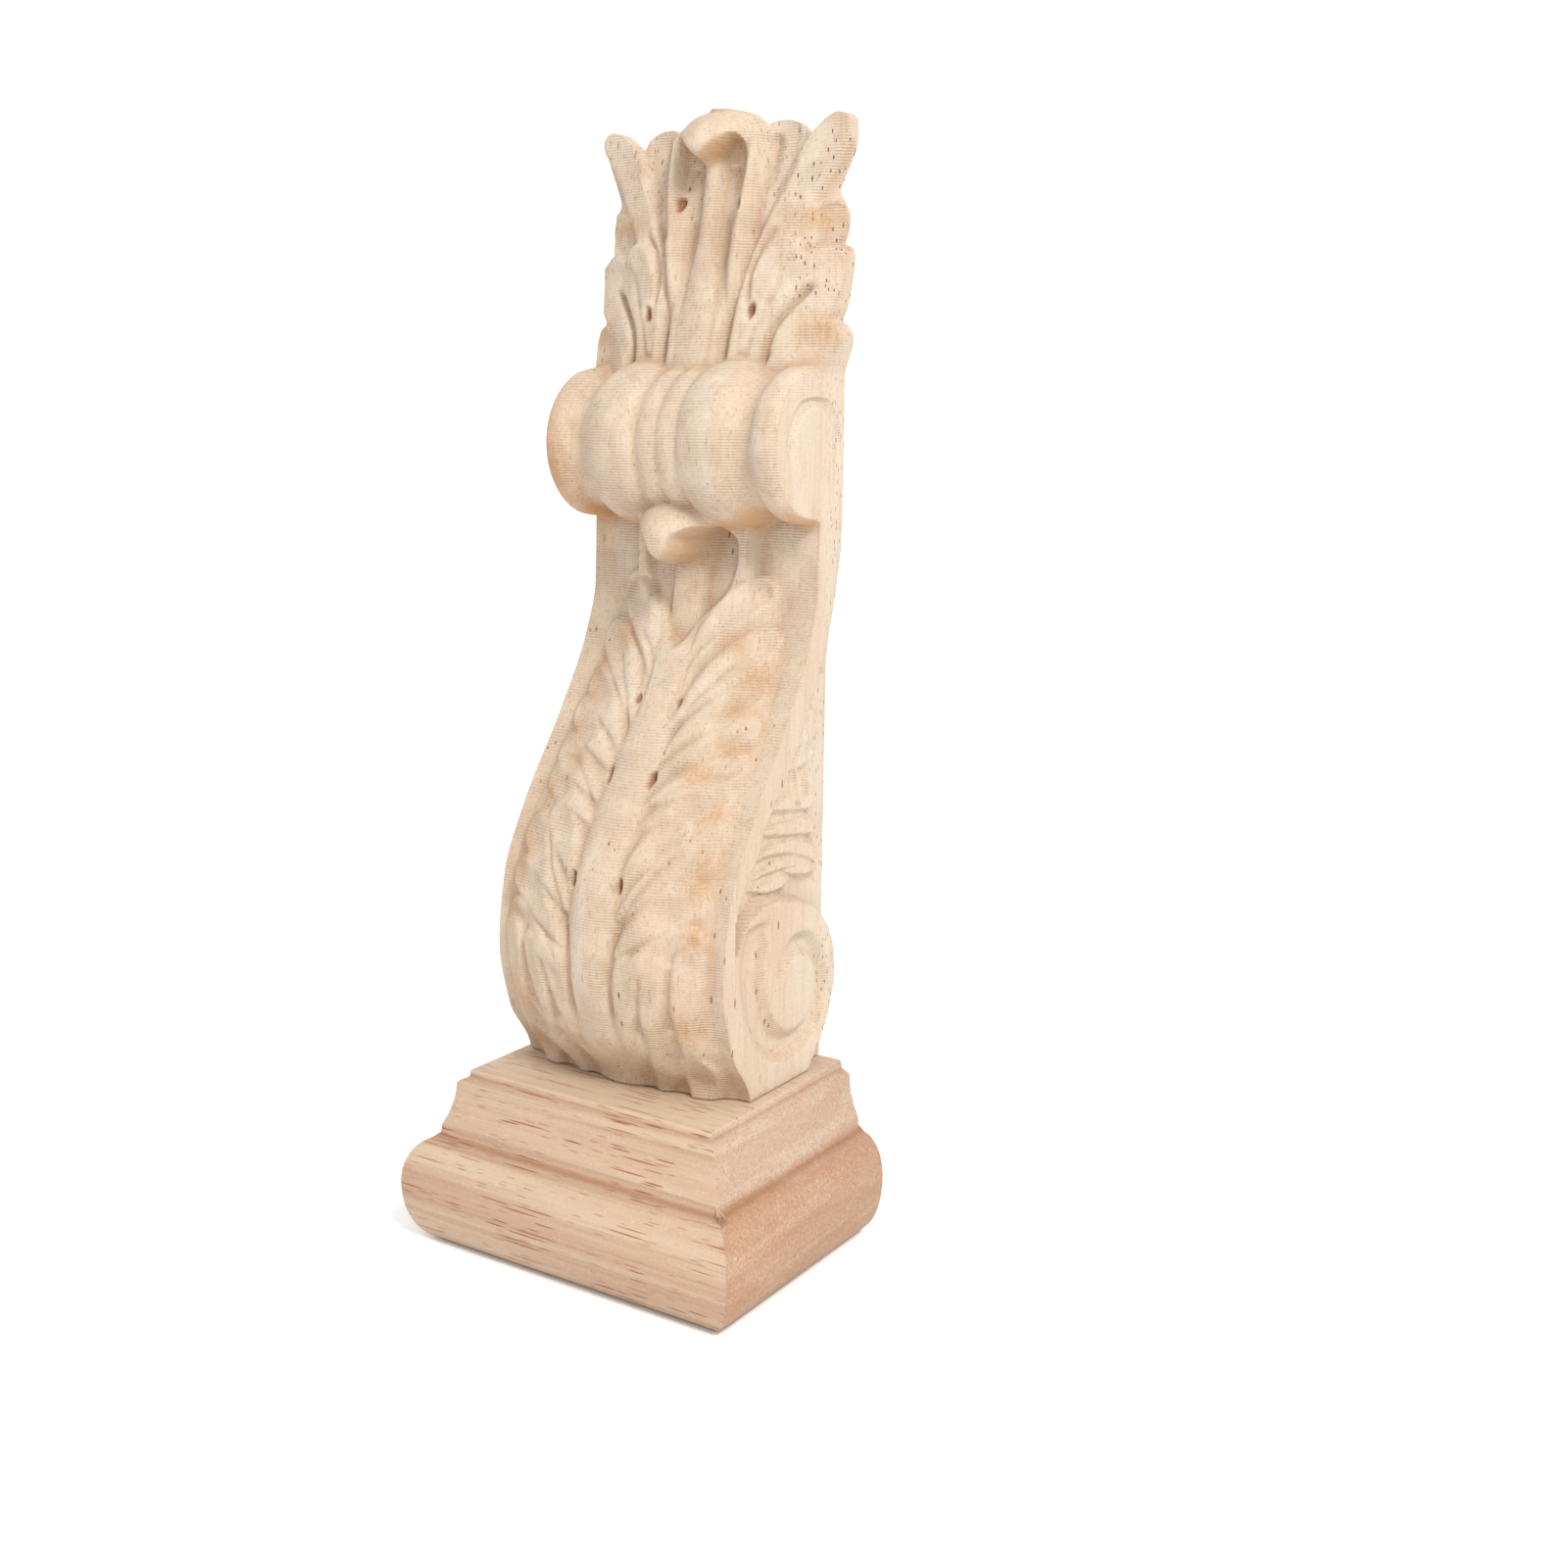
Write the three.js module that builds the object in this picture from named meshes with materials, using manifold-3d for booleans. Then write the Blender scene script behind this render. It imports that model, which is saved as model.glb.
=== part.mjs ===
// Carved wood corbel standing on its own moulded base block.
// Millimetres, +Z up, front towards -Y, flat back at +Y, underside of the base at Z = 0.
import * as THREE from 'three';
import { mergeVertices } from 'three/addons/utils/BufferGeometryUtils.js';
import Module from 'manifold-3d';

const wasm = await Module();
wasm.setup();
const { Manifold, Mesh } = wasm;

// Overall sizes
const totalHeight = 230;
const baseWidth = 80;
const baseDepth = 60;
const baseTop = 35.9;
const bodyHalf = 27.5;
const restGap = 0.3;
const bodyFoot = baseTop + restGap;
const backY = baseDepth / 2;

// Base moulding from the top plane down: how far in from the widest line, and height
const filletInset = 10.3;
const filletFoot = 34.2;
const shelfInset = 8.3;
const shelfEdge = 33.2;
const slopeInset = 8.2;
const slopeTop = 32.2;
const coveInset = 6;
const slopeFoot = 24.6;
const coveFoot = 22.5;
const bulgeTop = 21.6;
const bulgeTopInset = 5.2;
const bulgeMiddle = 12.6;
const footInset = 6.1;
const edgeRound = 0.6;

// The carving is drawn to this pattern size, then stretched to the sizes above
const drawnHalf = 27.5;
const drawnBack = 30;
const drawnFoot = 36.2;
const drawnTop = 230;
const drawn = new THREE.Box3(new THREE.Vector3(-drawnHalf, -drawnBack, drawnFoot),
  new THREE.Vector3(drawnHalf, drawnBack, drawnTop));

// Grid of the relief, as places and the step that leads up to them
const gridAcross = [[0], [12.8, 1.6], [31, 2.6]];
const gridUp = [[120, 2.9], [136, 2.3], [148, 1.3], [151, 1.5], [175, 8], [213, 2.7], [226, 1.3], [232, 2]];

// Front edge of the body at its sides, as [z, y], and how far the leaf stands out from it
const sLine = [[36, -2.5], [48, -9.4], [62, -12.6], [76, -10.8], [90, -4], [107, 7.8],
  [123, 17.2], [134, 20.6], [150, 21], [232, 22]];
const crestLine = [[36, 4], [62, 5.8], [105, 5.8], [122, 6], [150, 8]];
const lowerHalf = [[36, 25], [52, 25], [96, 24], [106, 23.4], [120, 22], [130, 19], [137, 15],
  [150, 14.5]];

// Leaf above the roll: its middle, its edge and its stem, as [z, y] or [z, half width]
const upperMiddle = [[174, 14.6], [190, 18.6], [206, 22.2], [218, 25.8], [230, 28]];
const upperEdge = [[172, 21.6], [184, 24.4], [198, 27.4], [207, 28.8], [220, 28.6], [230, 28.6]];
const stemHalf = [[172, 5.4], [184, 4.8], [196, 3.5], [206, 2.2], [220, 2.1]];
const stemFront = [[172, 13], [190, 16.9], [206, 20.3], [218, 22.6], [226, 24]];

// Roll across the front: radius against distance from the middle
const rollAxis = { y: 18, z: 163.5 };
const rollShape = [[0, 14.9], [2.4, 15.6], [4.8, 14.9], [6.2, 15.7], [8.4, 16.5], [11, 16.8], [13.6, 16.5],
  [15.6, 15.8], [17.4, 14.6], [18.8, 13.7], [20, 13.4], [21.2, 13.7], [22.2, 14.6], [23.2, 15.25],
  [24.6, 15.5], [26, 15.35], [27, 14.8], [27.6, 14]];

// Petals as a middle line of [x, z] points, half width, rise and dish, on the right half
const upperPetals = [
  [[[9, 196], [11.8, 212], [15.6, 228]], 5, 2.2, 2.4],
  [[[10.4, 188], [14, 208], [28.4, 229]], 5, 2.6, 0.4],
  [[[12.5, 192], [16, 205], [29.6, 208]], 4.8, 3.2, 3.4],
  [[[11, 182], [12.6, 198], [20.4, 203.4]], 4.4, 2.8, 0.5],
  [[[14, 180], [20, 193], [30.4, 199.4]], 7, 2.2, 0.9],
  [[[15.5, 170], [21, 182], [30.4, 185]], 5.6, 2.6, 2],
];
const lowerPetals = [
  [[[4.2, 117], [7, 129], [18.3, 135.6]], 4.3, 2.3, 1],
  [[[5, 108], [9, 118], [21, 125.6]], 4.2, 2.3, 1.2],
  [[[5.5, 103], [10, 110], [21.4, 115.8]], 3.8, 2.4, 1.4],
  [[[5.5, 99], [11, 104], [22.6, 109.4]], 3.8, 2.3, 1],
  [[[5.5, 93.5], [11, 98], [22.8, 102.2]], 3.8, 2.3, 1.2],
  [[[5, 89], [11, 93], [22.6, 96.8]], 3.4, 2.3, 1.3],
  [[[5, 83], [10, 87.5], [20.4, 91.8]], 3.6, 2, 0.9], [[[6.5, 73], [13, 82], [23, 87.4]], 4, 2.4, 1.2],
  [[[6.5, 66], [13, 75], [23.4, 78.9]], 4, 2.4, 1.2], [[[6.5, 60], [14, 68], [24, 70.4]], 4, 2.4, 1.1],
  [[[5.8, 42], [7, 56], [9.8, 66.4]], 3.6, 2.2, 1.2], [[[11.5, 42], [13, 56], [15.6, 67.6]], 3.2, 2.2, 0.9],
  [[[18.5, 44], [20.5, 56], [21.6, 69.4]], 3.8, 2.3, 1], [[[9, 34], [13, 46], [21.8, 51]], 4.2, 2.2, 1.4],
];
const veins = [[[[5.2, 178], [7.2, 200], [9, 225]], 2.6, 1.2, 4.6]];
const valleys = [
  [[[19, 221], [11.4, 204], [7, 176]], 2, 1.6], [[[3.6, 210], [6, 192], [7.8, 172]], 2.8, 2.4],
  [[[24, 195.4], [17, 188], [15.2, 174]], 2, 2.2], [[[12.6, 225.4], [12, 214], [9.8, 203]], 2.4, 1.9],
];

// Drilled eyes as [x, z]
const eyes = [[7.2, 211.3], [12.6, 189.6], [5, 98], [5.6, 79], [5, 112.2]];

// Niches below the curled tips: half width against height
const lowerNiche = [[122.5, 0.2], [124, 1.7], [129, 4.4], [131.2, 6.8], [133.5, 8.9], [137, 10.2],
  [143.5, 10.8], [145.4, 9.8], [147, 7], [147.7, 0.2]];
const upperNicheFloor = 22.8;
const lowerNicheFloor = 18.7;
const upperNiche = [[207, 3.4], [213, 6], [218, 8], [222, 8.1], [224.6, 6], [225.6, 0.2]];

// Curled tips of the two leaves: front line as [z, y], and half width of the hanging tongue
const hoodFront = [[138.8, 14], [139.7, 7.8], [141.4, 4], [145, 2.7], [149, 4.2], [152.6, 8.4], [156, 12]];
const hoodHalf = [[139.3, 0], [142, 2.4], [145, 3.6], [146.3, 5.2], [147.6, 13]];
const noseFront = [[217.4, 22.4], [219.3, 18.9], [222, 16.4], [226, 18.4], [228, 21.2], [230, 27]];
const noseHalf = [[217.6, 0], [220.5, 1.8], [223.5, 5], [225.8, 13]];

// Front outline above the roll, as [x, z]: five rounded lobes, then the nose
const lobes = [[27.5, 172], [27.4, 175], [28.3, 180.4], [29.2, 184.6], [28.4, 186.4], [26.9, 187.8],
  [28.5, 193.7], [29.3, 200.2], [28.8, 201.8], [27.1, 202.7], [28.1, 206.8], [27.6, 209.4], [25.8, 212.7],
  [27.9, 217.8], [29.5, 224.4], [29.2, 226.3], [28, 227.3], [26.2, 227.4], [22.4, 225], [20.2, 223.5],
  [18.5, 225.3], [16.7, 226.6], [13.6, 227.2], [10, 226], [8.5, 227.4], [5, 229.4], [0, 230]];

// Side carving, as [y, z]: rim of the sunk panel, leaf pads with their half width, and the volute
const panelFloor = 24.2;
const panelRim = [[31, 156], [28.6, 152], [27.6, 144], [26.2, 132], [24.2, 124], [21.6, 118], [18.9, 113],
  [15, 106], [10.4, 100], [5.4, 94], [1.9, 90], [0.2, 86], [-4.6, 80], [-7.6, 76], [-4, 72.4], [4, 74.6],
  [13.8, 73], [21.6, 70.2], [26, 66.6], [29, 62], [31, 58]];
const footRecess = [[31, 52], [28.3, 47.5], [25.4, 42.4], [21.6, 38], [20.4, 34], [31, 34]];
const sidePads = [[24.6, 118.6, 27.4, 119.6, 1.9], [16.5, 104, 26, 109, 2.8], [14, 99.4, 24.6, 103.4, 2],
  [17.4, 101, 17.2, 92, 1.2], [22.6, 102, 22.2, 91, 1.3], [5.6, 92.2, 23, 91.2, 1.5], [4, 87.8, 24, 86, 1.6],
  [2, 82.8, 25, 81, 1.7], [0, 77.4, 25.6, 77.8, 1.6]];
const volute = { y: 15.5, z: 54.5, deep: 1.9, first: -50, last: 330 };
const voluteMiddle = [[-50, 20.6], [-30, 19.6], [0, 15.6], [45, 12.6], [90, 10.6], [150, 9.8],
  [270, 9.4], [330, 8.4]];
const voluteHalf = [[-50, 2.6], [-30, 4], [0, 3.6], [45, 2.6], [90, 1.8], [180, 1.4], [270, 1.4],
  [330, 0.6]];
const discRing = { y: 19, z: 163.1, outer: 10.4, inner: 8, deep: 0.9 };

function smooth(points, t) {
  const n = points.length;
  if (t <= points[0][0]) return points[0][1];
  if (t >= points[n - 1][0]) return points[n - 1][1];
  let i = 0;
  while (points[i + 1][0] < t) i += 1;
  const slopeAt = (k) => {
    if (k === 0 || k === n - 1) return 0;
    const a = (points[k][1] - points[k - 1][1]) / (points[k][0] - points[k - 1][0]);
    const b = (points[k + 1][1] - points[k][1]) / (points[k + 1][0] - points[k][0]);
    return a * b <= 0 ? 0 : (2 * a * b) / (a + b);
  };
  const h = points[i + 1][0] - points[i][0];
  const s = (t - points[i][0]) / h;
  const p = s * s * (3 - 2 * s);
  return points[i][1] * (1 - p) + points[i + 1][1] * p
    + h * s * (1 - s) * ((1 - s) * slopeAt(i) - s * slopeAt(i + 1));
}

const clamp = (v) => Math.min(1, Math.max(0, v));
const ease = (v) => clamp(v) * clamp(v) * (3 - 2 * clamp(v));
const bell = (d, w) => Math.exp(-(d / w) * (d / w));

// A line through points: a bend through three, drawn with ten short steps
const strokePoints = (line) => new THREE.QuadraticBezierCurve(
  ...line.map(([a, b]) => new THREE.Vector2(a, b))).getPoints(10);
const drawStroke = ([line, ...sizes]) => [strokePoints(line), ...sizes];

// Distance off a stroke, share of the way along it, and its whole length
function along(u, z, points) {
  const found = { off: Infinity, t: 0, whole: 0 };
  const last = points.length - 2;
  for (let i = 0; i <= last; i += 1) {
    const p = points[i];
    const d = points[i + 1].clone().sub(p);
    const length = d.length();
    const a = ((u - p.x) * d.x + (z - p.y) * d.y) / (length * length);
    const held = clamp(a);
    const off = Math.hypot(u - p.x - held * d.x, z - p.y - held * d.y);
    if (off < found.off) {
      found.off = off;
      const free = Math.min(i === last ? a : 1, Math.max(i === 0 ? a : 0, a));
      found.t = found.whole + free * length;
    }
    found.whole += length;
  }
  found.t /= found.whole;
  return found;
}

// Height of a petal that widens along its line to a rounded, dished tip
function petal(u, z, [line, half, rise, dish]) {
  const { off, t, whole } = along(u, z, line);
  if (t < -0.02 || t > 1) return 0;
  const cap = clamp(((1 - t) * whole) / (half * 0.8));
  const width = half * (0.35 + 0.65 * Math.sin((clamp(t / 0.72) * Math.PI) / 2))
    * Math.sqrt(1 - (1 - cap) ** 2);
  if (off >= width) return 0;
  const body = rise * (0.35 + 0.65 * clamp(t) ** 1.1);
  const bowl = dish * (1 - (off / width) ** 2) * ease((t - 0.35) / 0.35);
  return (body - bowl) * ease((width - off) / 1.7);
}

// Height of a rounded vein, and depth of a valley, along their lines
function vein(u, z, [line, half, low, high]) {
  const { off, t } = along(u, z, line);
  return (low + (high - low) * ease(t)) * bell(off, half) * ease((1.04 - clamp(t)) / 0.06);
}
function valley(u, z, [line, width, deep]) {
  const { off, t } = along(u, z, line);
  return deep * Math.max(0, 1 - off / width) ** 1.4 * ease(clamp(t) / 0.12) * ease((1 - clamp(t)) / 0.12);
}

const strokes = {
  upper: upperPetals.map(drawStroke),
  lower: lowerPetals.map(drawStroke),
  veins: veins.map(drawStroke),
  valleys: valleys.map(drawStroke),
};
const highest = (u, z, list) => Math.max(...list.map((p) => petal(u, z, p)));

// A leaf tip that curls forward and hangs over what lies below it
function curledTip(u, z, y, front, half, bow, soft) {
  const tip = smooth(front, z) + bow * u * u;
  return y + (Math.min(y, tip) - y) * ease((smooth(half, z) - u) / soft + 0.5);
}

// Leaf above the roll, with its stem, its niche and its curled nose
function upperLeaf(u, z) {
  const edge = smooth(upperEdge, z);
  const rise = Math.max(highest(u, z, strokes.upper), ...strokes.veins.map((v) => vein(u, z, v)));
  let y = edge - (edge - smooth(upperMiddle, z)) * (1 - clamp(u / 29) ** 2.1) - rise;
  y += strokes.valleys.reduce((sum, v) => sum + valley(u, z, v), 0);
  const w = smooth(stemHalf, z);
  const stem = smooth(stemFront, z) + 0.9 * (u / w) ** 2 + 6 * ease((u - w + 0.3) / 2.9);
  if (u < w + 2.6) y = Math.min(y, stem);
  const under = noseHalf[0][0];
  if (z > under - 2) y = Math.min(y, smooth(noseFront, z) + 0.086 * u * u + 7 * ease((under + 4 - z) / 7));
  const niche = ease((smooth(upperNiche, z) - u) / 1.6 + 0.3) * ease((z - upperNiche[0][0] - 2.5) / 5);
  const floor = Math.min(upperNicheFloor + 2.8 * ease((z - upperNiche[0][0] - 4) / 9), stem);
  y += (Math.max(y, floor) - y) * niche;
  return z > under - 1 ? curledTip(u, z, y, noseFront, noseHalf, 0.086, 2.4) : y;
}

// Long leaf on the S front, with its midrib, its niche and its curled hood
function lowerLeaf(u, z) {
  const ground = smooth(sLine, z);
  const k = clamp(u / smooth(lowerHalf, z));
  const top = hoodHalf[0][0];
  const rib = 2 * (1 - clamp(u / 5.4)) ** 1.2 * ease((top - 11 - z) / 6);
  let y = ground - smooth(crestLine, z) * (1 - k ** 2.6) - highest(u, z, strokes.lower) - rib;
  const flap = ease(14.2 - u) * ease((z - top + 5) / 2);
  if (z > top - 6) y = Math.min(y, ground - 4.4 * flap);
  const wall = ease((smooth(lowerNiche, z) - u) / 1.2 + 0.4) * ease((z - lowerNiche[0][0]) / 2);
  const floor = lowerNicheFloor - (top - z) * 0.15;
  const stem = 15.3 + 0.5 * (u / 3.9) ** 2 - (top - 1.3 - z) * 0.18 + 4.4 * ease((u - 2.8) / 3.6);
  const inner = Math.min(z < top ? stem : 15.4 + 0.12 * u * u, floor);
  y = y * (1 - wall) + Math.max(y, inner) * wall;
  return z > top - 1 ? curledTip(u, z, y, hoodFront, hoodHalf, 0.1, 1.4) : y;
}

// Depth of the carved front at a point (x, z): smaller is nearer the viewer
function frontDepth(x, z) {
  const u = Math.abs(x);
  const pits = eyes.reduce((s, [ex, ez]) => s + 1.6 * bell(u - ex, 1.5) * bell(z - ez, 2.6), 0);
  const y = z > rollAxis.z ? upperLeaf(u, z) : lowerLeaf(u, z);
  return Math.min(y + pits, drawn.max.y - 0.9);
}

function toSolid(geometry) {
  const g = geometry.clone();
  g.deleteAttribute('normal');
  g.deleteAttribute('uv');
  const m = mergeVertices(g, 1e-4);
  return new Manifold(new Mesh({
    numProp: 3,
    vertProperties: new Float32Array(m.attributes.position.array),
    triVerts: new Uint32Array(m.index.array),
  }));
}

function toGeometry(solid) {
  const mesh = solid.getMesh();
  const g = new THREE.BufferGeometry();
  g.setAttribute('position', new THREE.BufferAttribute(mesh.vertProperties, 3));
  g.setIndex(new THREE.BufferAttribute(mesh.triVerts, 1));
  const flat = g.toNonIndexed();
  flat.computeVertexNormals();
  return flat;
}

// A block with the carved front and a flat back
function reliefBlock(xs, zs) {
  const nx = xs.length;
  const nz = zs.length;
  const pos = [];
  const idx = [];
  for (const z of zs) for (const x of xs) pos.push(x, frontDepth(x, z), z);
  const at = (i, j) => j * nx + i;
  for (let j = 0; j < nz - 1; j += 1) {
    for (let i = 0; i < nx - 1; i += 1) {
      const [a, b, c, d] = [at(i, j), at(i + 1, j), at(i + 1, j + 1), at(i, j + 1)];
      if ((xs[i] + xs[i + 1]) / 2 > 0) idx.push(a, b, d, b, c, d);
      else idx.push(a, b, c, a, c, d);
    }
  }
  const ring = [];
  for (let i = 0; i < nx - 1; i += 1) ring.push(at(i, 0));
  for (let j = 0; j < nz - 1; j += 1) ring.push(at(nx - 1, j));
  for (let i = nx - 1; i > 0; i -= 1) ring.push(at(i, nz - 1));
  for (let j = nz - 1; j > 0; j -= 1) ring.push(at(0, j));
  const first = pos.length / 3;
  for (const r of ring) pos.push(pos[3 * r], drawn.max.y, pos[3 * r + 2]);
  for (let k = 0; k < ring.length; k += 1) {
    const k2 = (k + 1) % ring.length;
    idx.push(ring[k], first + k, first + k2, ring[k], first + k2, ring[k2]);
  }
  const flat = ring.map((r) => new THREE.Vector2(pos[3 * r], pos[3 * r + 2]));
  for (const [a, b, c] of THREE.ShapeUtils.triangulateShape(flat, [])) {
    idx.push(first + a, first + c, first + b);
  }
  const g = new THREE.BufferGeometry();
  g.setAttribute('position', new THREE.Float32BufferAttribute(pos, 3));
  g.setIndex(idx);
  return toSolid(g);
}

// A flat outline in (y, z) pushed out along X between two planes
function sidePrism(points, x0, x1) {
  const shape = new THREE.Shape(points.map(([y, z]) => new THREE.Vector2(y, z)));
  const g = new THREE.ExtrudeGeometry(shape, { depth: x1 - x0, bevelEnabled: false });
  g.applyMatrix4(new THREE.Matrix4().set(0, 0, 1, x0, 1, 0, 0, 0, 0, 1, 0, 0, 0, 0, 0, 1));
  return toSolid(g);
}

function mirrored(solid) {
  return solid.mirror([1, 0, 0]);
}

// Outline of the front view: straight sides, then the lobes and the nose
function frontOutline() {
  const half = new THREE.SplineCurve(lobes.map(([x, z]) => new THREE.Vector2(x, z)));
  const pts = [new THREE.Vector2(drawn.max.x, drawn.min.z), ...half.getPoints(52)];
  const all = [...pts, ...pts.slice(0, -1).reverse().map((p) => new THREE.Vector2(-p.x, p.y))];
  const depth = drawn.max.y - drawn.min.y;
  const g = new THREE.ExtrudeGeometry(new THREE.Shape(all), { depth, bevelEnabled: false });
  g.applyMatrix4(new THREE.Matrix4().set(1, 0, 0, 0, 0, 0, -1, drawn.max.y, 0, 1, 0, 0, 0, 0, 0, 1));
  return toSolid(g);
}

// Roll turned about an axis along X
function rollSolid() {
  const half = rollShape.map(([u, r]) => [Math.min(u, drawn.max.x), r]);
  const line = [...half.slice(1).reverse().map(([u, r]) => [-u, r]), ...half];
  const pts = [new THREE.Vector2(0, -drawn.max.x), ...line.map(([u, r]) => new THREE.Vector2(r, u)),
    new THREE.Vector2(0, drawn.max.x)];
  const g = new THREE.LatheGeometry(pts, 28);
  g.rotateZ(-Math.PI / 2);
  g.translate(0, rollAxis.y, rollAxis.z);
  return toSolid(g);
}

// Panel recess behind the rim: its floor rises to nothing towards the roll
function panelRecess() {
  const curve = new THREE.SplineCurve(panelRim.map(([y, z]) => new THREE.Vector2(y, z)));
  const cut = sidePrism(curve.getPoints(44).map((p) => [p.x, p.y]), panelFloor, drawn.max.x + 5);
  const [, foot] = panelRim[5];
  const tilt = (drawn.max.x - panelFloor) / (panelRim[0][1] - foot);
  const slopeNormal = new THREE.Vector3(1, 0, -tilt);
  const reach = slopeNormal.length();
  return cut.trimByPlane(slopeNormal.normalize().toArray(), (panelFloor - tilt * foot) / reach);
}

// Spiral groove of the volute: a band that narrows as it winds in
function spiralGroove() {
  const outer = [];
  const inner = [];
  for (let a = volute.first; a <= volute.last; a += 12) {
    const r = smooth(voluteMiddle, a);
    const w = smooth(voluteHalf, a);
    const th = Math.PI * (1 + a / 180);
    outer.push([volute.y + (r + w) * Math.cos(th), volute.z + (r + w) * Math.sin(th)]);
    inner.push([volute.y + (r - w) * Math.cos(th), volute.z + (r - w) * Math.sin(th)]);
  }
  return sidePrism([...outer, ...inner.reverse()], drawn.max.x - volute.deep, drawn.max.x + 5);
}

// Low leaf pads on the panel floor, each stretched between two points
function padSolid([y0, z0, y1, z1, half]) {
  const g = new THREE.SphereGeometry(1, 8, 6);
  g.scale(2.3, Math.hypot(y1 - y0, z1 - z0) / 2 + half * 0.5, half);
  g.rotateX(Math.atan2(z1 - z0, y1 - y0));
  g.translate(panelFloor - 0.1, (y0 + y1) / 2, (z0 + z1) / 2);
  return toSolid(g);
}

// Ring groove on each end of the roll
function discGroove() {
  const ring = new THREE.Shape();
  ring.absarc(discRing.y, discRing.z, discRing.outer, 0, Math.PI * 2, false);
  const hole = new THREE.Path();
  hole.absarc(discRing.y, discRing.z, discRing.inner, 0, Math.PI * 2, true);
  ring.holes.push(hole);
  const g = new THREE.ExtrudeGeometry(ring, { depth: 4, bevelEnabled: false, curveSegments: 14 });
  const place = drawn.max.x - discRing.deep;
  g.applyMatrix4(new THREE.Matrix4().set(0, 0, 1, place, 1, 0, 0, 0, 0, 1, 0, 0, 0, 0, 0, 1));
  return toSolid(g);
}

// Grid lines of the relief: close together at the middle and at the two curled tips
function gridLines(stops) {
  const lines = [stops[0][0]];
  for (const [end, step] of stops.slice(1)) {
    const start = lines[lines.length - 1];
    const n = Math.max(1, Math.round((end - start) / step));
    for (let i = 1; i <= n; i += 1) lines.push(start + ((end - start) * i) / n);
  }
  return lines;
}

function carvedCorbel() {
  const half = gridLines(gridAcross);
  const xs = [...half.slice(1).reverse().map((x) => -x), ...half];
  const zs = gridLines([[drawn.min.z - 1], ...gridUp]);
  const roll = rollSolid();
  const cut = panelRecess().subtract(roll).subtract(Manifold.union(sidePads.map(padSolid)))
    .add(sidePrism(footRecess, panelFloor, drawn.max.x + 5)).add(spiralGroove()).add(discGroove());
  const body = reliefBlock(xs, zs).add(roll).intersect(frontOutline())
    .subtract(cut).subtract(mirrored(cut));
  const tall = (totalHeight - bodyFoot) / (drawn.max.z - drawn.min.z);
  return body.translate([0, 0, -drawn.min.z]).scale([bodyHalf / drawn.max.x, backY / drawn.max.y, tall])
    .translate([0, 0, bodyFoot]);
}

// Base block: the moulding runs round the front and both ends, the back is flat
function baseProfile() {
  const pts = [[filletInset + edgeRound, baseTop], [filletInset, baseTop - edgeRound],
    [filletInset, filletFoot], [shelfInset + edgeRound, shelfEdge + edgeRound], [shelfInset, shelfEdge]];
  for (let i = 0; i <= 4; i += 1) {
    const t = i / 4;
    const hollow = edgeRound * Math.sin(Math.PI * t);
    pts.push([slopeInset + (coveInset - slopeInset) * t + hollow, slopeTop + (slopeFoot - slopeTop) * t]);
  }
  pts.push([coveInset, coveFoot]);
  for (let i = 1; i <= 12; i += 1) {
    const a = (i / 12) * Math.PI;
    const upper = a < Math.PI / 2;
    const reach = upper ? bulgeTopInset : footInset;
    const tall = upper ? bulgeTop - bulgeMiddle : bulgeMiddle;
    pts.push([reach - reach * Math.sin(a), bulgeMiddle + Math.cos(a) * tall]);
  }
  return pts;
}
function mouldedBase() {
  const pts = baseProfile();
  const pos = [];
  const idx = [];
  for (const [inset, z] of pts) {
    const x = baseWidth / 2 - inset;
    pos.push(-x, inset - backY, z, x, inset - backY, z, x, backY, z, -x, backY, z);
  }
  const n = pts.length;
  for (let j = 0; j < n - 1; j += 1) {
    for (let k = 0; k < 4; k += 1) {
      const a = 4 * j + k;
      const b = 4 * j + ((k + 1) % 4);
      idx.push(a, a + 4, b, b, a + 4, b + 4);
    }
  }
  idx.push(0, 1, 2, 0, 2, 3);
  const e = 4 * (n - 1);
  idx.push(e, e + 2, e + 1, e, e + 3, e + 2);
  const g = new THREE.BufferGeometry();
  g.setAttribute('position', new THREE.Float32BufferAttribute(pos, 3));
  g.setIndex(idx);
  return toSolid(g);
}

function named(name, solid, colour) {
  const mat = new THREE.MeshStandardMaterial({ color: colour, roughness: 0.75, metalness: 0 });
  const mesh = new THREE.Mesh(toGeometry(solid), mat);
  mesh.name = name;
  return mesh;
}

const group = new THREE.Group();
group.name = 'wood_corbel';
group.add(named('carved_corbel', carvedCorbel(), 0xe9d3b1));
group.add(named('moulded_base', mouldedBase(), 0xdcb991));
export default group;
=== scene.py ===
import math

import bpy
import numpy as np
from mathutils import Matrix, Vector


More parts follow.
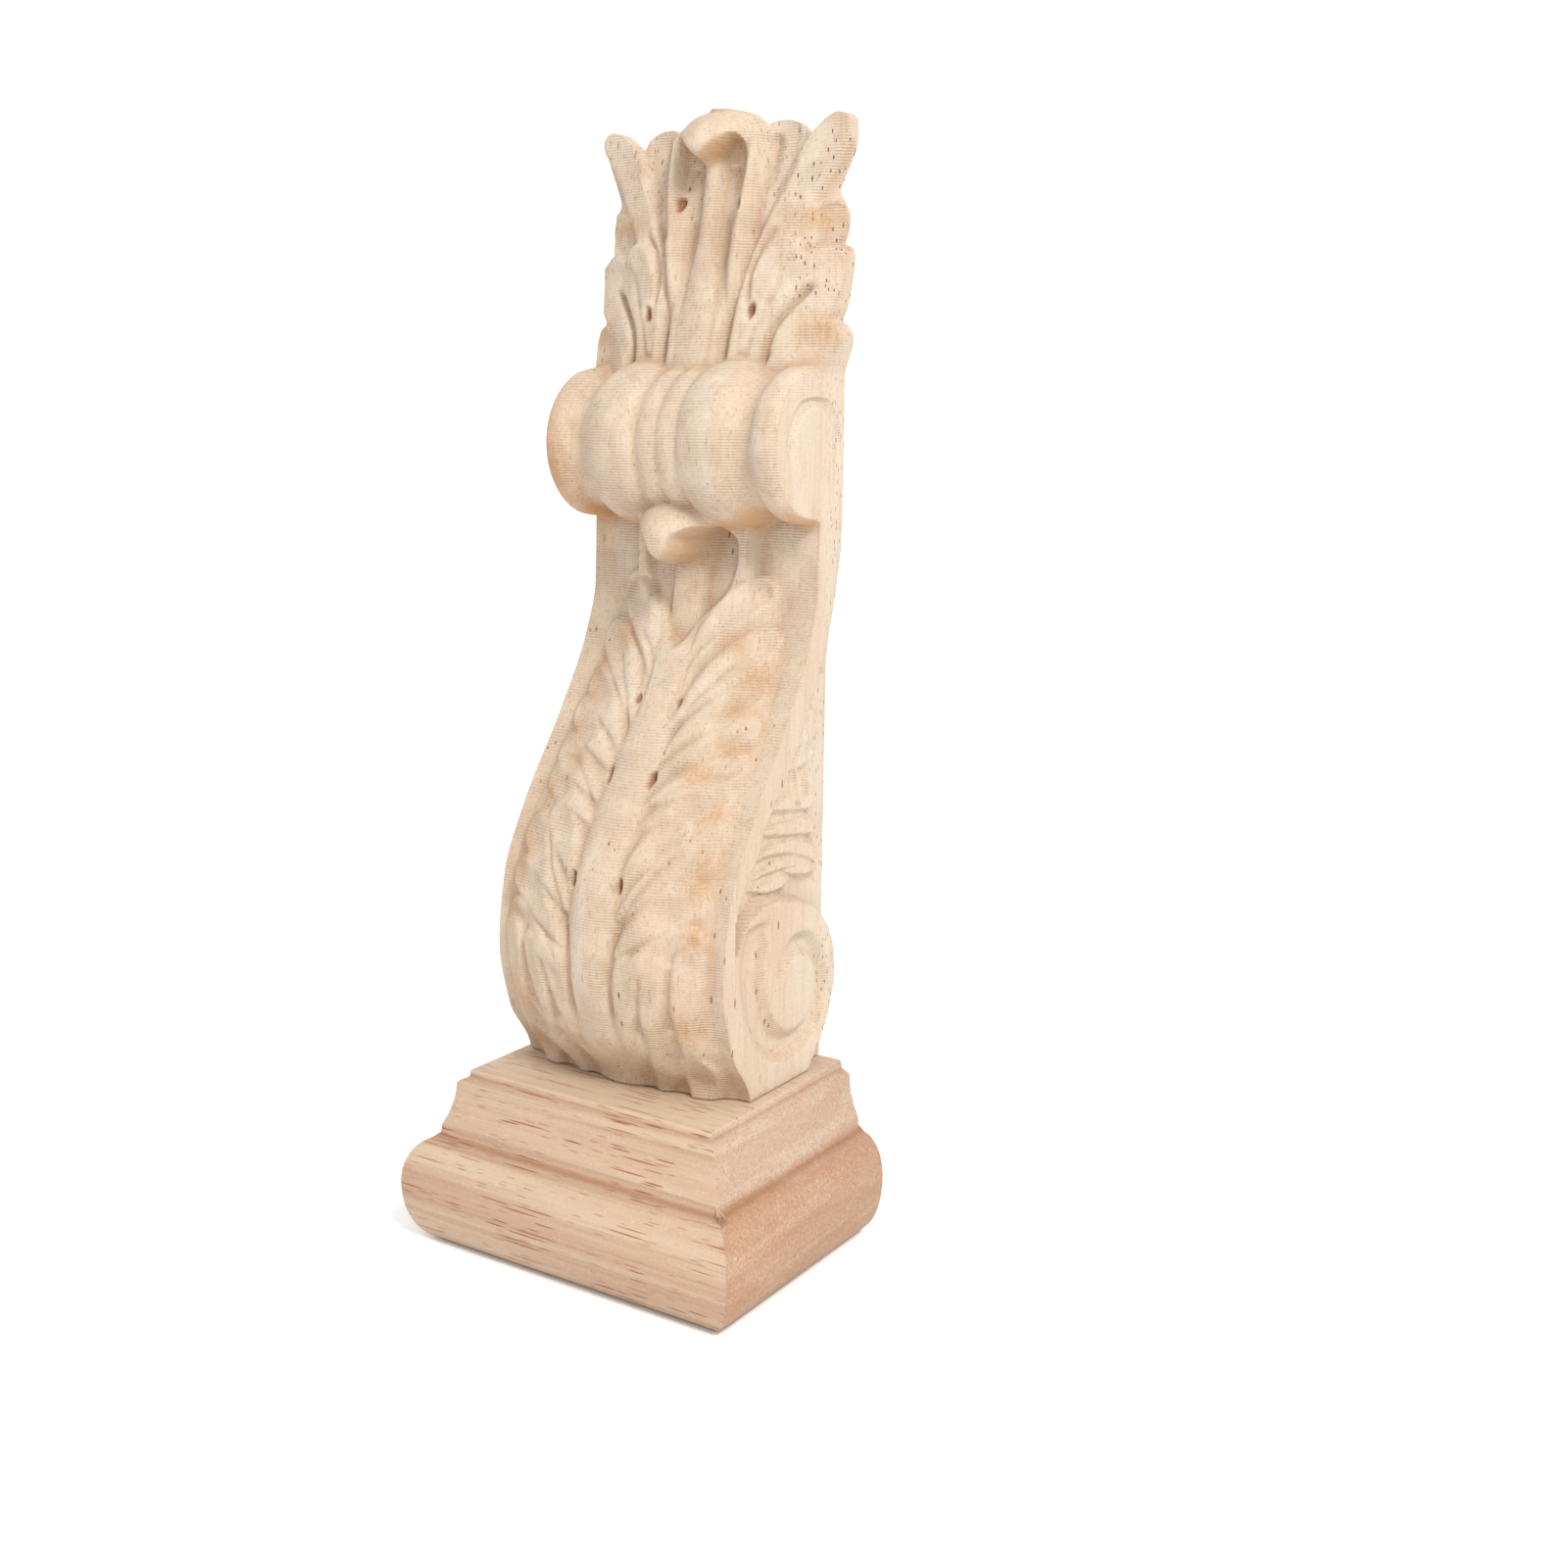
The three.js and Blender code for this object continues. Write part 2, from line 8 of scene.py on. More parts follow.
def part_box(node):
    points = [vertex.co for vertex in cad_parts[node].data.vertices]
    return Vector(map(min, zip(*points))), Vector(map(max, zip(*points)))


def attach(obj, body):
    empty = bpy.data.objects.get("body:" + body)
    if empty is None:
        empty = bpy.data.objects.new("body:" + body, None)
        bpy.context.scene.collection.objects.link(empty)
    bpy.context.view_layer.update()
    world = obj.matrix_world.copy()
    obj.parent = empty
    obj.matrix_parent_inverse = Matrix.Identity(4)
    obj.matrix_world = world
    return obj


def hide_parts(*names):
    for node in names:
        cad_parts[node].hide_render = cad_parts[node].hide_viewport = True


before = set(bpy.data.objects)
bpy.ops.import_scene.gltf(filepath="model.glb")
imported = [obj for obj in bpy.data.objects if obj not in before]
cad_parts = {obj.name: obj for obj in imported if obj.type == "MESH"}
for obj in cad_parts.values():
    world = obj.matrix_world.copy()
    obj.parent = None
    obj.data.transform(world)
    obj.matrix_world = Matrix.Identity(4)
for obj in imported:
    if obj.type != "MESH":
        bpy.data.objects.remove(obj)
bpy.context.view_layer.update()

bl_info = {
    "name": "Carved wood corbel",
    "version": (1, 0, 0),
    "blender": (4, 5, 0),
    "location": "3D View > Sidebar > Corbel",
    "description": "Carves the scrolled corbel, moulds its base block and lights them",
    "category": "Object",
}

# Sizes are in millimetres and are turned into metres when a mesh is made.
MM = 0.001
BODY_LOW, BODY_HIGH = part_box("carved_corbel")
BASE_LOW, BASE_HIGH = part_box("moulded_base")
BACK = BODY_HIGH.y / MM
FOOT = BODY_LOW.z / MM
TOP = BODY_HIGH.z / MM
BASE_TOP = BASE_HIGH.z / MM

# Carved front, as pairs that start with the height: the S line is the front edge of the body at its
# sides, the crest is how far the long leaf stands in front of it at the middle, then its half width.
BODY_HALF = 27.5
S_LINE = [(36, -2.5), (48, -9.4), (62, -12.6), (76, -10.8), (90, -4), (107, 7.8), (123, 17.2),
          (134, 20.6), (150, 21), (232, 22)]
CREST = [(36, 4), (48, 5), (62, 5.8), (76, 6), (90, 5.8), (105, 5.8), (113, 5.8), (122, 6),
         (137, 6.6), (150, 8)]
LEAF_HALF = [(36, 25), (52, 25), (96, 24), (106, 23.4), (120, 22), (130, 19), (137, 15), (150, 14.5)]
# Ground of the upper leaf at its middle and its edge, then its stem's half width, front and flank.
UPPER_MID = [(174, 14.6), (182, 16.4), (190, 18.6), (196, 20), (206, 22.2), (212, 23.8), (218, 25.8),
             (224, 27.4), (230, 28)]
UPPER_EDGE = [(172, 21.6), (184, 24.4), (191, 26), (198, 27.4), (207, 28.8), (220, 28.6), (230, 28.6)]
STEM_HALF = [(172, 5.4), (184, 4.6), (190, 3.9), (196, 3.0), (206, 1.8), (220, 1.8)]
STEM_FRONT = [(172, 13), (182, 14.9), (190, 16.9), (196, 18.3), (206, 20.3), (218, 22.6), (226, 24)]
STEM_FALL = [(172, 2.2), (190, 3), (204, 5), (212, 6)]

# Roll across the front, turned about an axis that runs from side to side: its radius at each
# distance from the middle, over a small bead, a big bead, a groove and the disc at the end.
ROLL_Y, ROLL_Z = 18.0, 163.5
ROLL_SHAPE = [(0, 14.9), (1.2, 15.4), (2.4, 15.6), (3.7, 15.3), (4.8, 14.9), (6.2, 15.7), (8.4, 16.5),
              (11, 16.8), (13.6, 16.5), (15.6, 15.8), (17.4, 14.6), (18.8, 13.7), (20, 13.4), (21.2, 13.7),
              (22.2, 14.6), (23.2, 15.25), (24.6, 15.5), (26, 15.35), (27, 14.8), (27.6, 14)]

# A petal's width at its root and how far along it is full, and how long its rounded tip is.
PETAL_ROOT, PETAL_FULL, PETAL_TIP = 0.35, 0.72, 0.8
GROOVE_FADE = 0.12
# Petals as (line of the middle, half width, rise, dish), on the right half.
UPPER_PETALS = [
    ([(9, 196), (11.8, 212), (15.6, 228)], 5.0, 2.2, 3.0),
    ([(10.4, 188), (14, 208), (28.4, 229)], 5.0, 2.6, 0.4),
    ([(12.5, 192), (16, 205), (29.6, 208)], 4.8, 3.4, 5.0),
    ([(11, 182), (12.6, 198), (20.4, 203.4)], 4.4, 2.8, 0.5),
    ([(14, 180), (20, 193), (30.4, 199.4)], 7.0, 2.2, 0.9),
    ([(15.5, 170), (21, 182), (30.4, 185)], 5.6, 2.6, 2.0),
]
# Veins of the upper leaf as (line, half width, rise at the foot, rise at the top).
UPPER_VEINS = [
    ([(5.2, 178), (6.4, 192), (8.4, 206), (9.4, 217), (9, 225)], 2.3, 1.2, 4.6),
    ([(8.4, 180), (10, 194), (13, 205), (19.4, 213.6)], 1.8, 1.6, 1.4),
    ([(12.6, 196), (13.6, 204), (16, 212), (19.6, 219)], 1.4, 0.6, 2.2),
]
LOWER_PETALS = [
    ([(4.2, 117), (7, 129), (18.3, 135.6)], 4.6, 2.3, 1.5),
    ([(5, 108), (9, 118), (21, 125.6)], 4.6, 2.3, 1.6),
    ([(5.5, 103), (10, 110), (21.4, 115.8)], 4.0, 2.4, 1.9),
    ([(5.5, 99), (11, 104), (22.6, 109.4)], 3.8, 2.3, 1.4),
    ([(5.5, 93.5), (11, 98), (22.8, 102.2)], 4.0, 2.3, 1.7),
    ([(5, 89), (11, 93), (22.6, 96.8)], 3.4, 2.3, 1.8),
    ([(5.4, 78), (8, 86), (17, 91.4)], 4.2, 2.2, 1.5),
    ([(6.5, 73), (13, 82), (23, 87.4)], 4.6, 2.4, 1.7),
    ([(6.5, 66), (13, 75), (23.4, 78.9)], 4.6, 2.4, 1.7),
    ([(6.5, 60), (14, 68), (24, 70.4)], 4.4, 2.4, 1.6),
    ([(5.8, 42), (7, 56), (9.8, 66.4)], 3.6, 2.2, 1.2),
    ([(11.5, 42), (13, 56), (15.6, 67.6)], 3.2, 2.2, 0.9),
    ([(18.5, 44), (20.5, 56), (21.6, 69.4)], 3.8, 2.3, 1.0),
    ([(9, 34), (13, 46), (21.8, 51)], 4.6, 2.2, 1.8),
    ([(17, 30), (19.5, 38), (20, 46.4)], 4.4, 2.6, 2.0),
    ([(2.6, 34), (4, 42), (9.6, 50.5)], 3.4, 1.8, 1.2),
]
# The lower petals stand this much prouder and its grooves are this much shallower than drawn.
LOWER_PETAL_SHARE, LOWER_GROOVE_SHARE = 1.35, 0.6
MIDRIB_RISE, MIDRIB_HALF, MIDRIB_TOP = 1.9, 6.2, 128
# Drilled eyes as (x, z, half width, half height, lean, depth).
EYES = [
    (7.2, 211.3, 0.8, 1.8, -0.2, 2.4), (12.4, 189.6, 0.8, 1.9, 0.3, 1.8),
    (5, 98, 0.62, 1.9, 0.2, 2.4), (5.6, 79, 0.62, 1.9, 0.15, 2.4), (5, 112.2, 0.55, 1.2, 0.15, 1.4),
]
# Patches of painted orange shade in the dished ends of the lobes, as (x, z, half width, half height).
LOBE_SHADE_PATCHES = [
    (19.5, 117, 3, 4), (17.5, 111.6, 2.8, 1.6), (19, 104.5, 2.6, 2.2), (14.5, 100, 3, 2),
    (20.5, 93, 2.4, 3), (21.5, 81.5, 2.6, 4.5), (22, 71, 2.4, 3.5), (13, 124, 3, 3), (20, 52, 3, 5),
    (24, 207.6, 6, 2.6), (26.5, 186, 3.5, 3),
]
# Tool grooves as (line, width, depth).
UPPER_GROOVES = [
    ([(19, 221), (14.6, 212), (11.4, 205), (9.4, 197), (7.8, 188), (7, 176)], 1.9, 1.2),
    ([(16, 206.4), (12.6, 202), (11, 196), (11.4, 190)], 1.2, 1.5),
    ([(24, 195.4), (19, 189.6), (16.4, 184.6), (15.2, 174)], 1.5, 2.4),
    ([(3.6, 210), (5.2, 198), (7.2, 186), (7.8, 172)], 2.6, 1.4),
    ([(20.6, 200.6), (16.6, 196), (15, 190)], 1.2, 0.9),
    ([(12.6, 225.4), (12, 219), (10.8, 211), (9.8, 203)], 2.4, 1.9),
]
LOWER_GROOVES = [
    ([(14.8, 121), (12, 117.8), (7.6, 111.5), (4.9, 104)], 1.1, 1.5),
    ([(9.8, 126), (5.4, 121.8), (4, 116), (4, 108)], 1.1, 1.3),
    ([(17.4, 88), (11.4, 80.4), (6.9, 72), (4.6, 62), (4.6, 50)], 1.2, 1.8),
    ([(21.5, 99.8), (15, 99.2), (9.5, 96), (6, 91)], 0.9, 1.1),
    ([(5.8, 118), (5.4, 100), (5.4, 76), (5.4, 60), (5.8, 38)], 1.8, 0.5),
]
# Niche below the hood of the lower leaf: its foot, then its half width at each height.
NICHE_FOOT = 122
NICHE = [(122.5, 0.2), (124, 1.7), (126, 2.9), (129, 4.4), (131.2, 6.8), (133.5, 8.9), (137, 10.2),
         (141, 10.9), (143.5, 10.8), (145.4, 9.8), (146.6, 8.2), (147.3, 5.5), (147.7, 0.2)]
# Curled leaf tips: front line as (height, y), half width of the hanging tip, how fast its front
# bows back to the sides.
HOOD_BOW, NOSE_BOW = 0.1, 0.086
HOOD_FRONT = [(138.8, 14), (139.2, 11), (139.7, 7.8), (140.4, 5.4), (141.4, 4), (142.8, 3.1), (145, 2.7),
              (147, 3), (149, 4.2), (151, 6.3), (152.6, 8.4), (156, 12)]
HOOD_HALF = [(139.3, 0), (140.5, 1.2), (142, 2.4), (145, 3.6), (146.3, 5.2), (147.2, 7.6), (147.6, 13)]
NOSE_FRONT = [(217.4, 22.4), (218.4, 21), (219.3, 18.9), (220.4, 17.2), (222, 16.4), (224, 16.8),
              (226, 18.4), (228, 21.2), (229.3, 24), (230, 27)]
NOSE_HALF = [(217.6, 0), (219.3, 0.7), (220.5, 1.8), (222, 3.4), (223.5, 5), (224.8, 7), (225.8, 13)]
NOSE_NICHE = [(207, 3.4), (210, 4.6), (213, 6), (218, 8), (222, 8.1), (223.6, 7.3), (224.8, 5.4),
              (225.4, 3), (225.6, 0.2)]

# Outline of the front: straight sides, then rounded lobes and the nose, as (x, z).
LOBES = [
    (27.5, 172), (27.4, 175), (27.6, 178), (28.3, 180.4), (29, 182.6), (29.2, 184.6), (28.4, 186.4),
    (26.9, 187.8), (27.8, 190.4), (28.5, 193.7), (29.1, 197.4), (29.3, 200.2), (28.8, 201.8),
    (27.1, 202.7), (27.7, 204.4), (28.1, 206.8), (27.9, 208.6), (26.9, 210.8), (25.8, 212.7),
    (26.5, 214.8), (27.9, 217.8), (29.2, 221), (29.5, 224.4), (29.2, 226.3), (28, 227.3), (26.2, 227.4),
    (24.3, 226.5), (22.4, 225), (20.9, 223.7), (19.7, 223.5), (18.5, 225.3), (16.7, 226.6), (14.7, 227.1),
    (12.8, 227.1), (11.4, 226.7), (10, 226), (8.5, 227.4), (6.9, 228.6), (5, 229.4), (2.8, 229.9), (0, 230),
]

# Side relief, as (y, z) petals on the sunk panel behind the rim.
SIDE_PETALS = [
    ([(25.6, 118), (26.4, 119), (27.4, 119.6)], 1.9, 1.8, 0.0),
    ([(16.5, 104), (21.6, 106.4), (26, 109)], 3.3, 2.4, 1.5),
    ([(14, 99.4), (19, 101.2), (24.6, 103.4)], 2.7, 2.4, 1.1),
    ([(16.6, 102), (17.6, 97), (17.2, 92)], 1.8, 2.3, 0.0),
    ([(22, 103), (23, 97.4), (22.2, 91)], 2.0, 2.2, 0.3),
    ([(5.6, 92.4), (14, 93.2), (23, 91.6)], 2.2, 2.3, 0.5),
    ([(4, 88), (13, 88.4), (24, 86.6)], 2.4, 2.5, 0.7),
    ([(2, 83), (14, 86.6), (25, 80)], 2.3, 2.6, 0.6),
    ([(2, 79.4), (13, 82.4), (23.4, 79)], 2.0, 2.3, 0.9),
    ([(0, 78), (7, 75.8), (14, 78)], 1.9, 2.4, 0.5),
    ([(12, 79.4), (18, 77.4), (25.6, 78)], 1.7, 2.3, 0.4),
]
# Sunk panel of each side: half width of its floor and at what height, the y of its rim at each
# height, the height of its lower end at each y, and the front edge of the recess below the volute.
PANEL_FLOOR = 24.2
PANEL_FLOORS = [(36, PANEL_FLOOR), (118, PANEL_FLOOR), (124, 24.7), (134, 26.2), (144, 27.1),
                (154, BODY_HALF)]
PANEL_RIM = [(72, -8.4), (80, -4.6), (86, 0.2), (90, 1.9), (94, 5.4), (100, 10.4), (106, 15), (113, 18.9),
             (118, 21.6), (124, 24.2), (132, 26.2), (144, 27.6), (156, 28.6)]
PANEL_END = [(-12, 60), (-4, 72), (4, 74.6), (13.8, 73), (21.6, 70.2), (26, 66.6), (29, 62), (31, 56)]
FOOT_RECESS = [(36, 20.4), (38, 21.6), (42.4, 25.4), (47.5, 28.3), (51.6, 29.8), (54, 32)]
# Spiral groove of the volute: its eye, then its middle radius, half width at each turn in degrees.
VOLUTE_Y, VOLUTE_Z, VOLUTE_TOP, VOLUTE_DEPTH = 15.5, 54.5, 72, 1.9
VOLUTE_MIDDLE = [(-60, 21.5), (-30, 19.6), (0, 15.6), (45, 12.6), (90, 10.6), (150, 9.8), (200, 9.4),
                 (270, 9.4), (330, 8.4)]
VOLUTE_HALF = [(-60, 3.4), (-30, 4.2), (0, 3.6), (45, 2.6), (90, 1.8), (180, 1.4), (270, 1.5), (330, 0.6)]
# Ring cut in each end of the roll: its middle from the roll's axis, its radius, half width, depth.
RING_Y, RING_Z, RING_RADIUS, RING_HALF, RING_DEPTH = 1.0, -0.4, 9.2, 1.8, 0.9
# Above this height the sides are cut by the front's outline alone.
SIDES_FREE = 178

# Base moulding from the top down, as (how far in from the widest line, height): the top's edge and
# the slope, then the bulge as an upper and a lower quarter, each (reach, height) about one level.
SLOPE_FOOT = 22.5
SLOPE = [(10.9, BASE_TOP), (10.45, BASE_TOP - 0.2), (10.3, BASE_TOP - 0.6), (10.25, 34.4), (10.0, 34.1),
         (8.6, 33.5), (8.33, 33.24), (8.3, 32.7), (8.2, 31.4), (7.95, 29.8), (7.5, 28.0), (6.9, 26.2),
         (6.3, 24.9), (6.05, 24.2), (5.95, 22.7), (5.6, SLOPE_FOOT)]
BULGE_LEVEL, BULGE_UPPER, BULGE_LOWER, BULGE_STEPS = 12.6, (5.2, 9.0), (6.1, 12.6), 24
EDGE_ROUND = 0.35
# Folds of the moulding, where shade and dust gather, as (height, half width, how dark).
FOLDS = [(22.1, 0.9, 0.65), (34.3, 0.5, 0.35)]
# Torn fibres at the front right corner below the slope: where they stand, their half width at the
# root and at the tip, then the way each one points and its length.
TORN_ROOT, TORN_HALF, TORN_TIP = (34.0, -24.0, 23.4), 0.26, 0.04
TORN_FIBRES = [(0.68, -0.50, -0.40, 4.4), (0.72, -0.10, -0.32, 3.6), (0.60, -0.62, -0.42, 3.4),
               (0.80, -0.32, -0.28, 4.0), (0.42, -0.74, -0.30, 2.4)]

# Most triangles of the carving, points round the front's outline, points along a short and a long
# stroke, spacing of the grid that finds the hollows.
TRIANGLE_LIMIT = 190000
OUTLINE_POINTS = 360
STROKE_POINTS, LONG_STROKE_POINTS = 14, 20
HOLLOW_GRID = 0.6
# Half width of the sheet that is carved, wider than the lobes, and how far it stands over the top.
SHEET_HALF, SHEET_OVER = 31, 1.5
# Front edge, depth and overhang of the sheet that cuts a side, and how much coarser it is.
SIDE_FRONT, SIDE_DEEP, SIDE_OVER, SIDE_COARSER = -28, 60, 1, 1.3
# Below this height the painted shade on the carving's sheer walls is weaker.
LOWER_WALLS = 134

# Spacing of the fine ridges that the carving tool left, in metres.
TOOL_PITCH = 0.00056
# The studio light lifts the wood above its own brightness by this much.
WOOD_SHARE = 0.54

# The round studio light, in metres and watts.
KEY_PLACE, KEY_AIM, KEY_SIZE = (0.8, -0.5, 1.0), (0, 0, 0.12), 0.36
KEY_POWER, KEY_TINT = 13.0, (1, 0.985, 0.97)
# The photograph's camera, fitted to it: turn, height and roll in radians, distance and the point
# it looks at in metres, focal length and middle of the picture in pixels of a square frame.
CAMERA_TURN, CAMERA_HEIGHT, CAMERA_ROLL = 0.616868, 0.149483, 0.002881
CAMERA_DISTANCE, CAMERA_AIM = 0.374956, (0, 0, 0.115)
FRAME_PX, FOCAL_PX, MIDDLE_X_PX, MIDDLE_Y_PX = 1600, 1921.45, 657.266, 704.594
# Width of the camera's sensor in millimetres.
SENSOR = 36


def smooth_line(points, at):
    """Value of a smooth line through points, for each place in at."""
    p = np.array(points, float)
    x, y = p[:, 0], p[:, 1]
    rise = np.diff(y) / np.diff(x)
    slope = np.zeros(len(x))
    for k in range(1, len(x) - 1):
        a, b = rise[k - 1], rise[k]
        slope[k] = 0 if a * b <= 0 else 2 * a * b / (a + b)
    at = np.clip(np.asarray(at, float), x[0], x[-1])
    i = np.clip(np.searchsorted(x, at, side="right") - 1, 0, len(x) - 2)
    h = x[i + 1] - x[i]
    s = (at - x[i]) / h
    q = s * s * (3 - 2 * s)
    return (y[i] * (1 - q) + y[i + 1] * q
            + h * s * (1 - s) * ((1 - s) * slope[i] - s * slope[i + 1]))


def ease(v):
    """A soft step from 0 to 1."""
    v = np.clip(v, 0, 1)
    return v * v * (3 - 2 * v)


def bell(d, w):
    """A hump of 1 that fades with the distance d."""
    return np.exp(-(d / w) ** 2)


def stroke_points(line):
    """Points along a stroke: one bend for three points, or a smooth line through more."""
    p = np.array(line, float)
    if len(p) == 3:
        t = np.linspace(0, 1, STROKE_POINTS)[:, None]
        return (1 - t) ** 2 * p[0] + 2 * t * (1 - t) * p[1] + t * t * p[2]
    t = np.linspace(0, len(p) - 1, LONG_STROKE_POINTS)
    return np.stack([smooth_line(list(enumerate(p[:, axis])), t) for axis in (0, 1)], 1)


def along(u, z, line):
    """Distance from a stroke, share of the way along it, and its length."""
    p = stroke_points(line)
    lengths = np.hypot(*np.diff(p, axis=0).T)
    starts = np.concatenate([[0], np.cumsum(lengths)])
    whole = starts[-1]
    best = np.full(u.shape, 1e9)
    share = np.zeros(u.shape)
    for i in range(len(p) - 1):
        d = p[i + 1] - p[i]
        a = ((u - p[i, 0]) * d[0] + (z - p[i, 1]) * d[1]) / lengths[i] ** 2
        held = np.clip(a, 0, 1)
        dx = u - p[i, 0] - held * d[0]
        dz = z - p[i, 1] - held * d[1]
        r = np.hypot(dx, dz)
        near = r < best
        best = np.where(near, r, best)
        free = np.clip(a, 0 if i else -1e3, 1 if i < len(p) - 2 else 1e3)
        share = np.where(near, (starts[i] + free * lengths[i]) / whole, share)
    return best, share, whole


def petal(u, z, line, half, rise, dish=0.0, edge=1.7):
    """Height of a petal that widens along its line to a rounded, dished tip."""
    off, t, whole = along(u, z, line)
    width = half * (PETAL_ROOT + (1 - PETAL_ROOT) * np.sin(np.clip(t / PETAL_FULL, 0, 1) * np.pi / 2))
    cap = np.clip((1 - t) * whole / (half * PETAL_TIP), 0, 1)
    width = width * np.sqrt(1 - (1 - cap) ** 2)
    width = np.where((t < -0.02) | (t > 1), 0, width)
    inside = np.clip(width - off, 0, None)
    k = np.clip(off / np.maximum(width, 1e-6), 0, 1)
    body = rise * (0.35 + 0.65 * np.clip(t, 0, 1) ** 1.1)
    bowl = dish * (1 - k ** 2) * ease((t - 0.35) / 0.35)
    return np.where(inside > 0, (body - bowl) * ease(inside / edge), 0)


def groove(u, z, line, width, depth):
    """Depth of a tool groove that fades out at both ends."""
    off, t, _ = along(u, z, line)
    held = np.clip(t, 0, 1)
    ends = ease(held / GROOVE_FADE) * ease((1 - held) / GROOVE_FADE)
    return depth * np.maximum(0, 1 - off / width) ** 1.4 * ends


def highest(fields):
    """The highest of several reliefs at each place, and never below the ground."""
    return np.maximum(np.maximum.reduce(fields), 0)


def vein(u, z, line, half, low, high):
    """Height of a rounded vein that runs along a line."""
    off, t, _ = along(u, z, line)
    t = np.clip(t, 0, 1)
    return (low + (high - low) * ease(t)) * bell(off, half) * ease((1.04 - t) / 0.06)


def curled_tip(u, z, y, front, half, bow, soft):
    """A leaf tip that curls forward and hangs over what lies below it."""
    tip = smooth_line(front, z) + bow * u * u
    hang = ease((smooth_line(half, z) - u) / soft + 0.5)
    return y + (np.minimum(y, tip) - y) * hang


def upper_leaf(u, z):
    """Depth of the leaf above the roll, with its stem, niches and nose."""
    edge = smooth_line(UPPER_EDGE, z)
    y = edge - (edge - smooth_line(UPPER_MID, z)) * (1 - np.clip(u / 29, 0, 1) ** 2.1)
    h = highest([petal(u, z, *p) for p in UPPER_PETALS] + [vein(u, z, *v) for v in UPPER_VEINS])
    y = y - h + sum(groove(u, z, *g) for g in UPPER_GROOVES)
    w = smooth_line(STEM_HALF, z)
    stem = smooth_line(STEM_FRONT, z) + 0.9 * (u / w) ** 2
    fall = smooth_line(STEM_FALL, z)
    y = np.where(u < w + 2.6, np.minimum(y, stem + fall * ease((u - w + 0.3) / 2.9)), y)
    side = smooth_line(NOSE_FRONT, z) + NOSE_BOW * u * u + 7 * ease((221 - z) / 7)
    y = np.where(z > 216, np.minimum(y, side), y)
    niche = ease((smooth_line(NOSE_NICHE, z) - u) / 1.6 + 0.3) * ease((z - 209.5) / 5)
    floor = np.minimum(22.6 + 2.8 * ease((z - 211) / 9), stem + 6 * ease((u - w + 0.3) / 2.9))
    y = y + (np.maximum(y, floor) - y) * niche
    return np.where(z > 217, curled_tip(u, z, y, NOSE_FRONT, NOSE_HALF, NOSE_BOW, 2.4), y)


def lower_leaf(u, z):
    """Depth of the long leaf on the S front, with its hood and niche."""
    s = smooth_line(S_LINE, z)
    k = np.clip(u / smooth_line(LEAF_HALF, z), 0, 1)
    h = highest([LOWER_PETAL_SHARE * petal(u, z, *p, edge=2.0) for p in LOWER_PETALS])
    h = np.maximum(h, MIDRIB_RISE * (1 - (u / MIDRIB_HALF) ** 2) * ease((MIDRIB_TOP - z) / 6))
    y = (s - smooth_line(CREST, z) * (1 - k ** 2.6) - h * ease((z - 30) / 6)
         + LOWER_GROOVE_SHARE * sum(groove(u, z, *g) for g in LOWER_GROOVES))
    flap = ease((14.2 - u) / 0.8) * ease((z - 134.5) / 2)
    y = np.where(z > 133, np.minimum(y, s - 4.4 * flap), y)
    wall = ease((smooth_line(NICHE, z) - u) / 1.2 + 0.4) * ease((z - NICHE_FOOT) / 2)
    stem = 15.3 + 0.5 * (u / 3.9) ** 2 - (138 - z) * 0.18 + 4.4 * ease((u - 2.8) / 3.6)
    floor = 18.2 - (139 - z) * 0.24
    inner = np.where(z < 139, np.minimum(stem, floor), np.minimum(15.4 + 0.12 * u * u, floor))
    y = y * (1 - wall) + np.maximum(y, inner) * wall
    return np.where(z > 138.8, curled_tip(u, z, y, HOOD_FRONT, HOOD_HALF, HOOD_BOW, 1.0), y)


def front_depth(x, z):
    """Depth of the carved front at (x, z). Smaller is nearer the viewer."""
    u = np.abs(x)
    y = np.where(z > ROLL_Z + 2, upper_leaf(u, z), lower_leaf(u, z))
    reach = smooth_line(ROLL_SHAPE, u) ** 2 - (z - ROLL_Z) ** 2
    y = np.where(reach > 0, np.minimum(y, ROLL_Y - np.sqrt(np.clip(reach, 0, None))), y)
    for ex, ez, rx, rz, lean, deep in EYES:
        a = (u - ex) * math.cos(lean) - (z - ez) * math.sin(lean)
        b = (z - ez) * math.cos(lean) + (u - ex) * math.sin(lean)
        q = (a / rx) ** 2 + (b / rz) ** 2
        y = y + deep * np.clip(1 - q, 0, 1) ** 0.6
    return np.minimum(y, BACK - 0.9)


def side_half(y, z):
    """Half width of the body at (y, z): rim, sunk panel with its leaf, and foot recess."""
    rim = smooth_line(PANEL_RIM, z)
    over = smooth_line(PANEL_END, y)
    panel = ease((y - rim) / (1.2 + np.clip(z - 118, 0, 40) / 8)) * ease((z - over) / 1.2)
    leaf = highest([petal(y, z, *p, edge=1.2) for p in SIDE_PETALS]
                   + [petal(y, z, line, half + 1.3, 1.1, edge=2.2) for line, half, _, _ in SIDE_PETALS])
    sunk = np.clip(BODY_HALF - smooth_line(PANEL_FLOORS, z) - leaf, 0, None) * panel
    foot = ease((y - smooth_line(FOOT_RECESS, z)) / 0.8) * ease((54 - z) / 2)
    return BODY_HALF - sunk - (BODY_HALF - PANEL_FLOOR) * foot


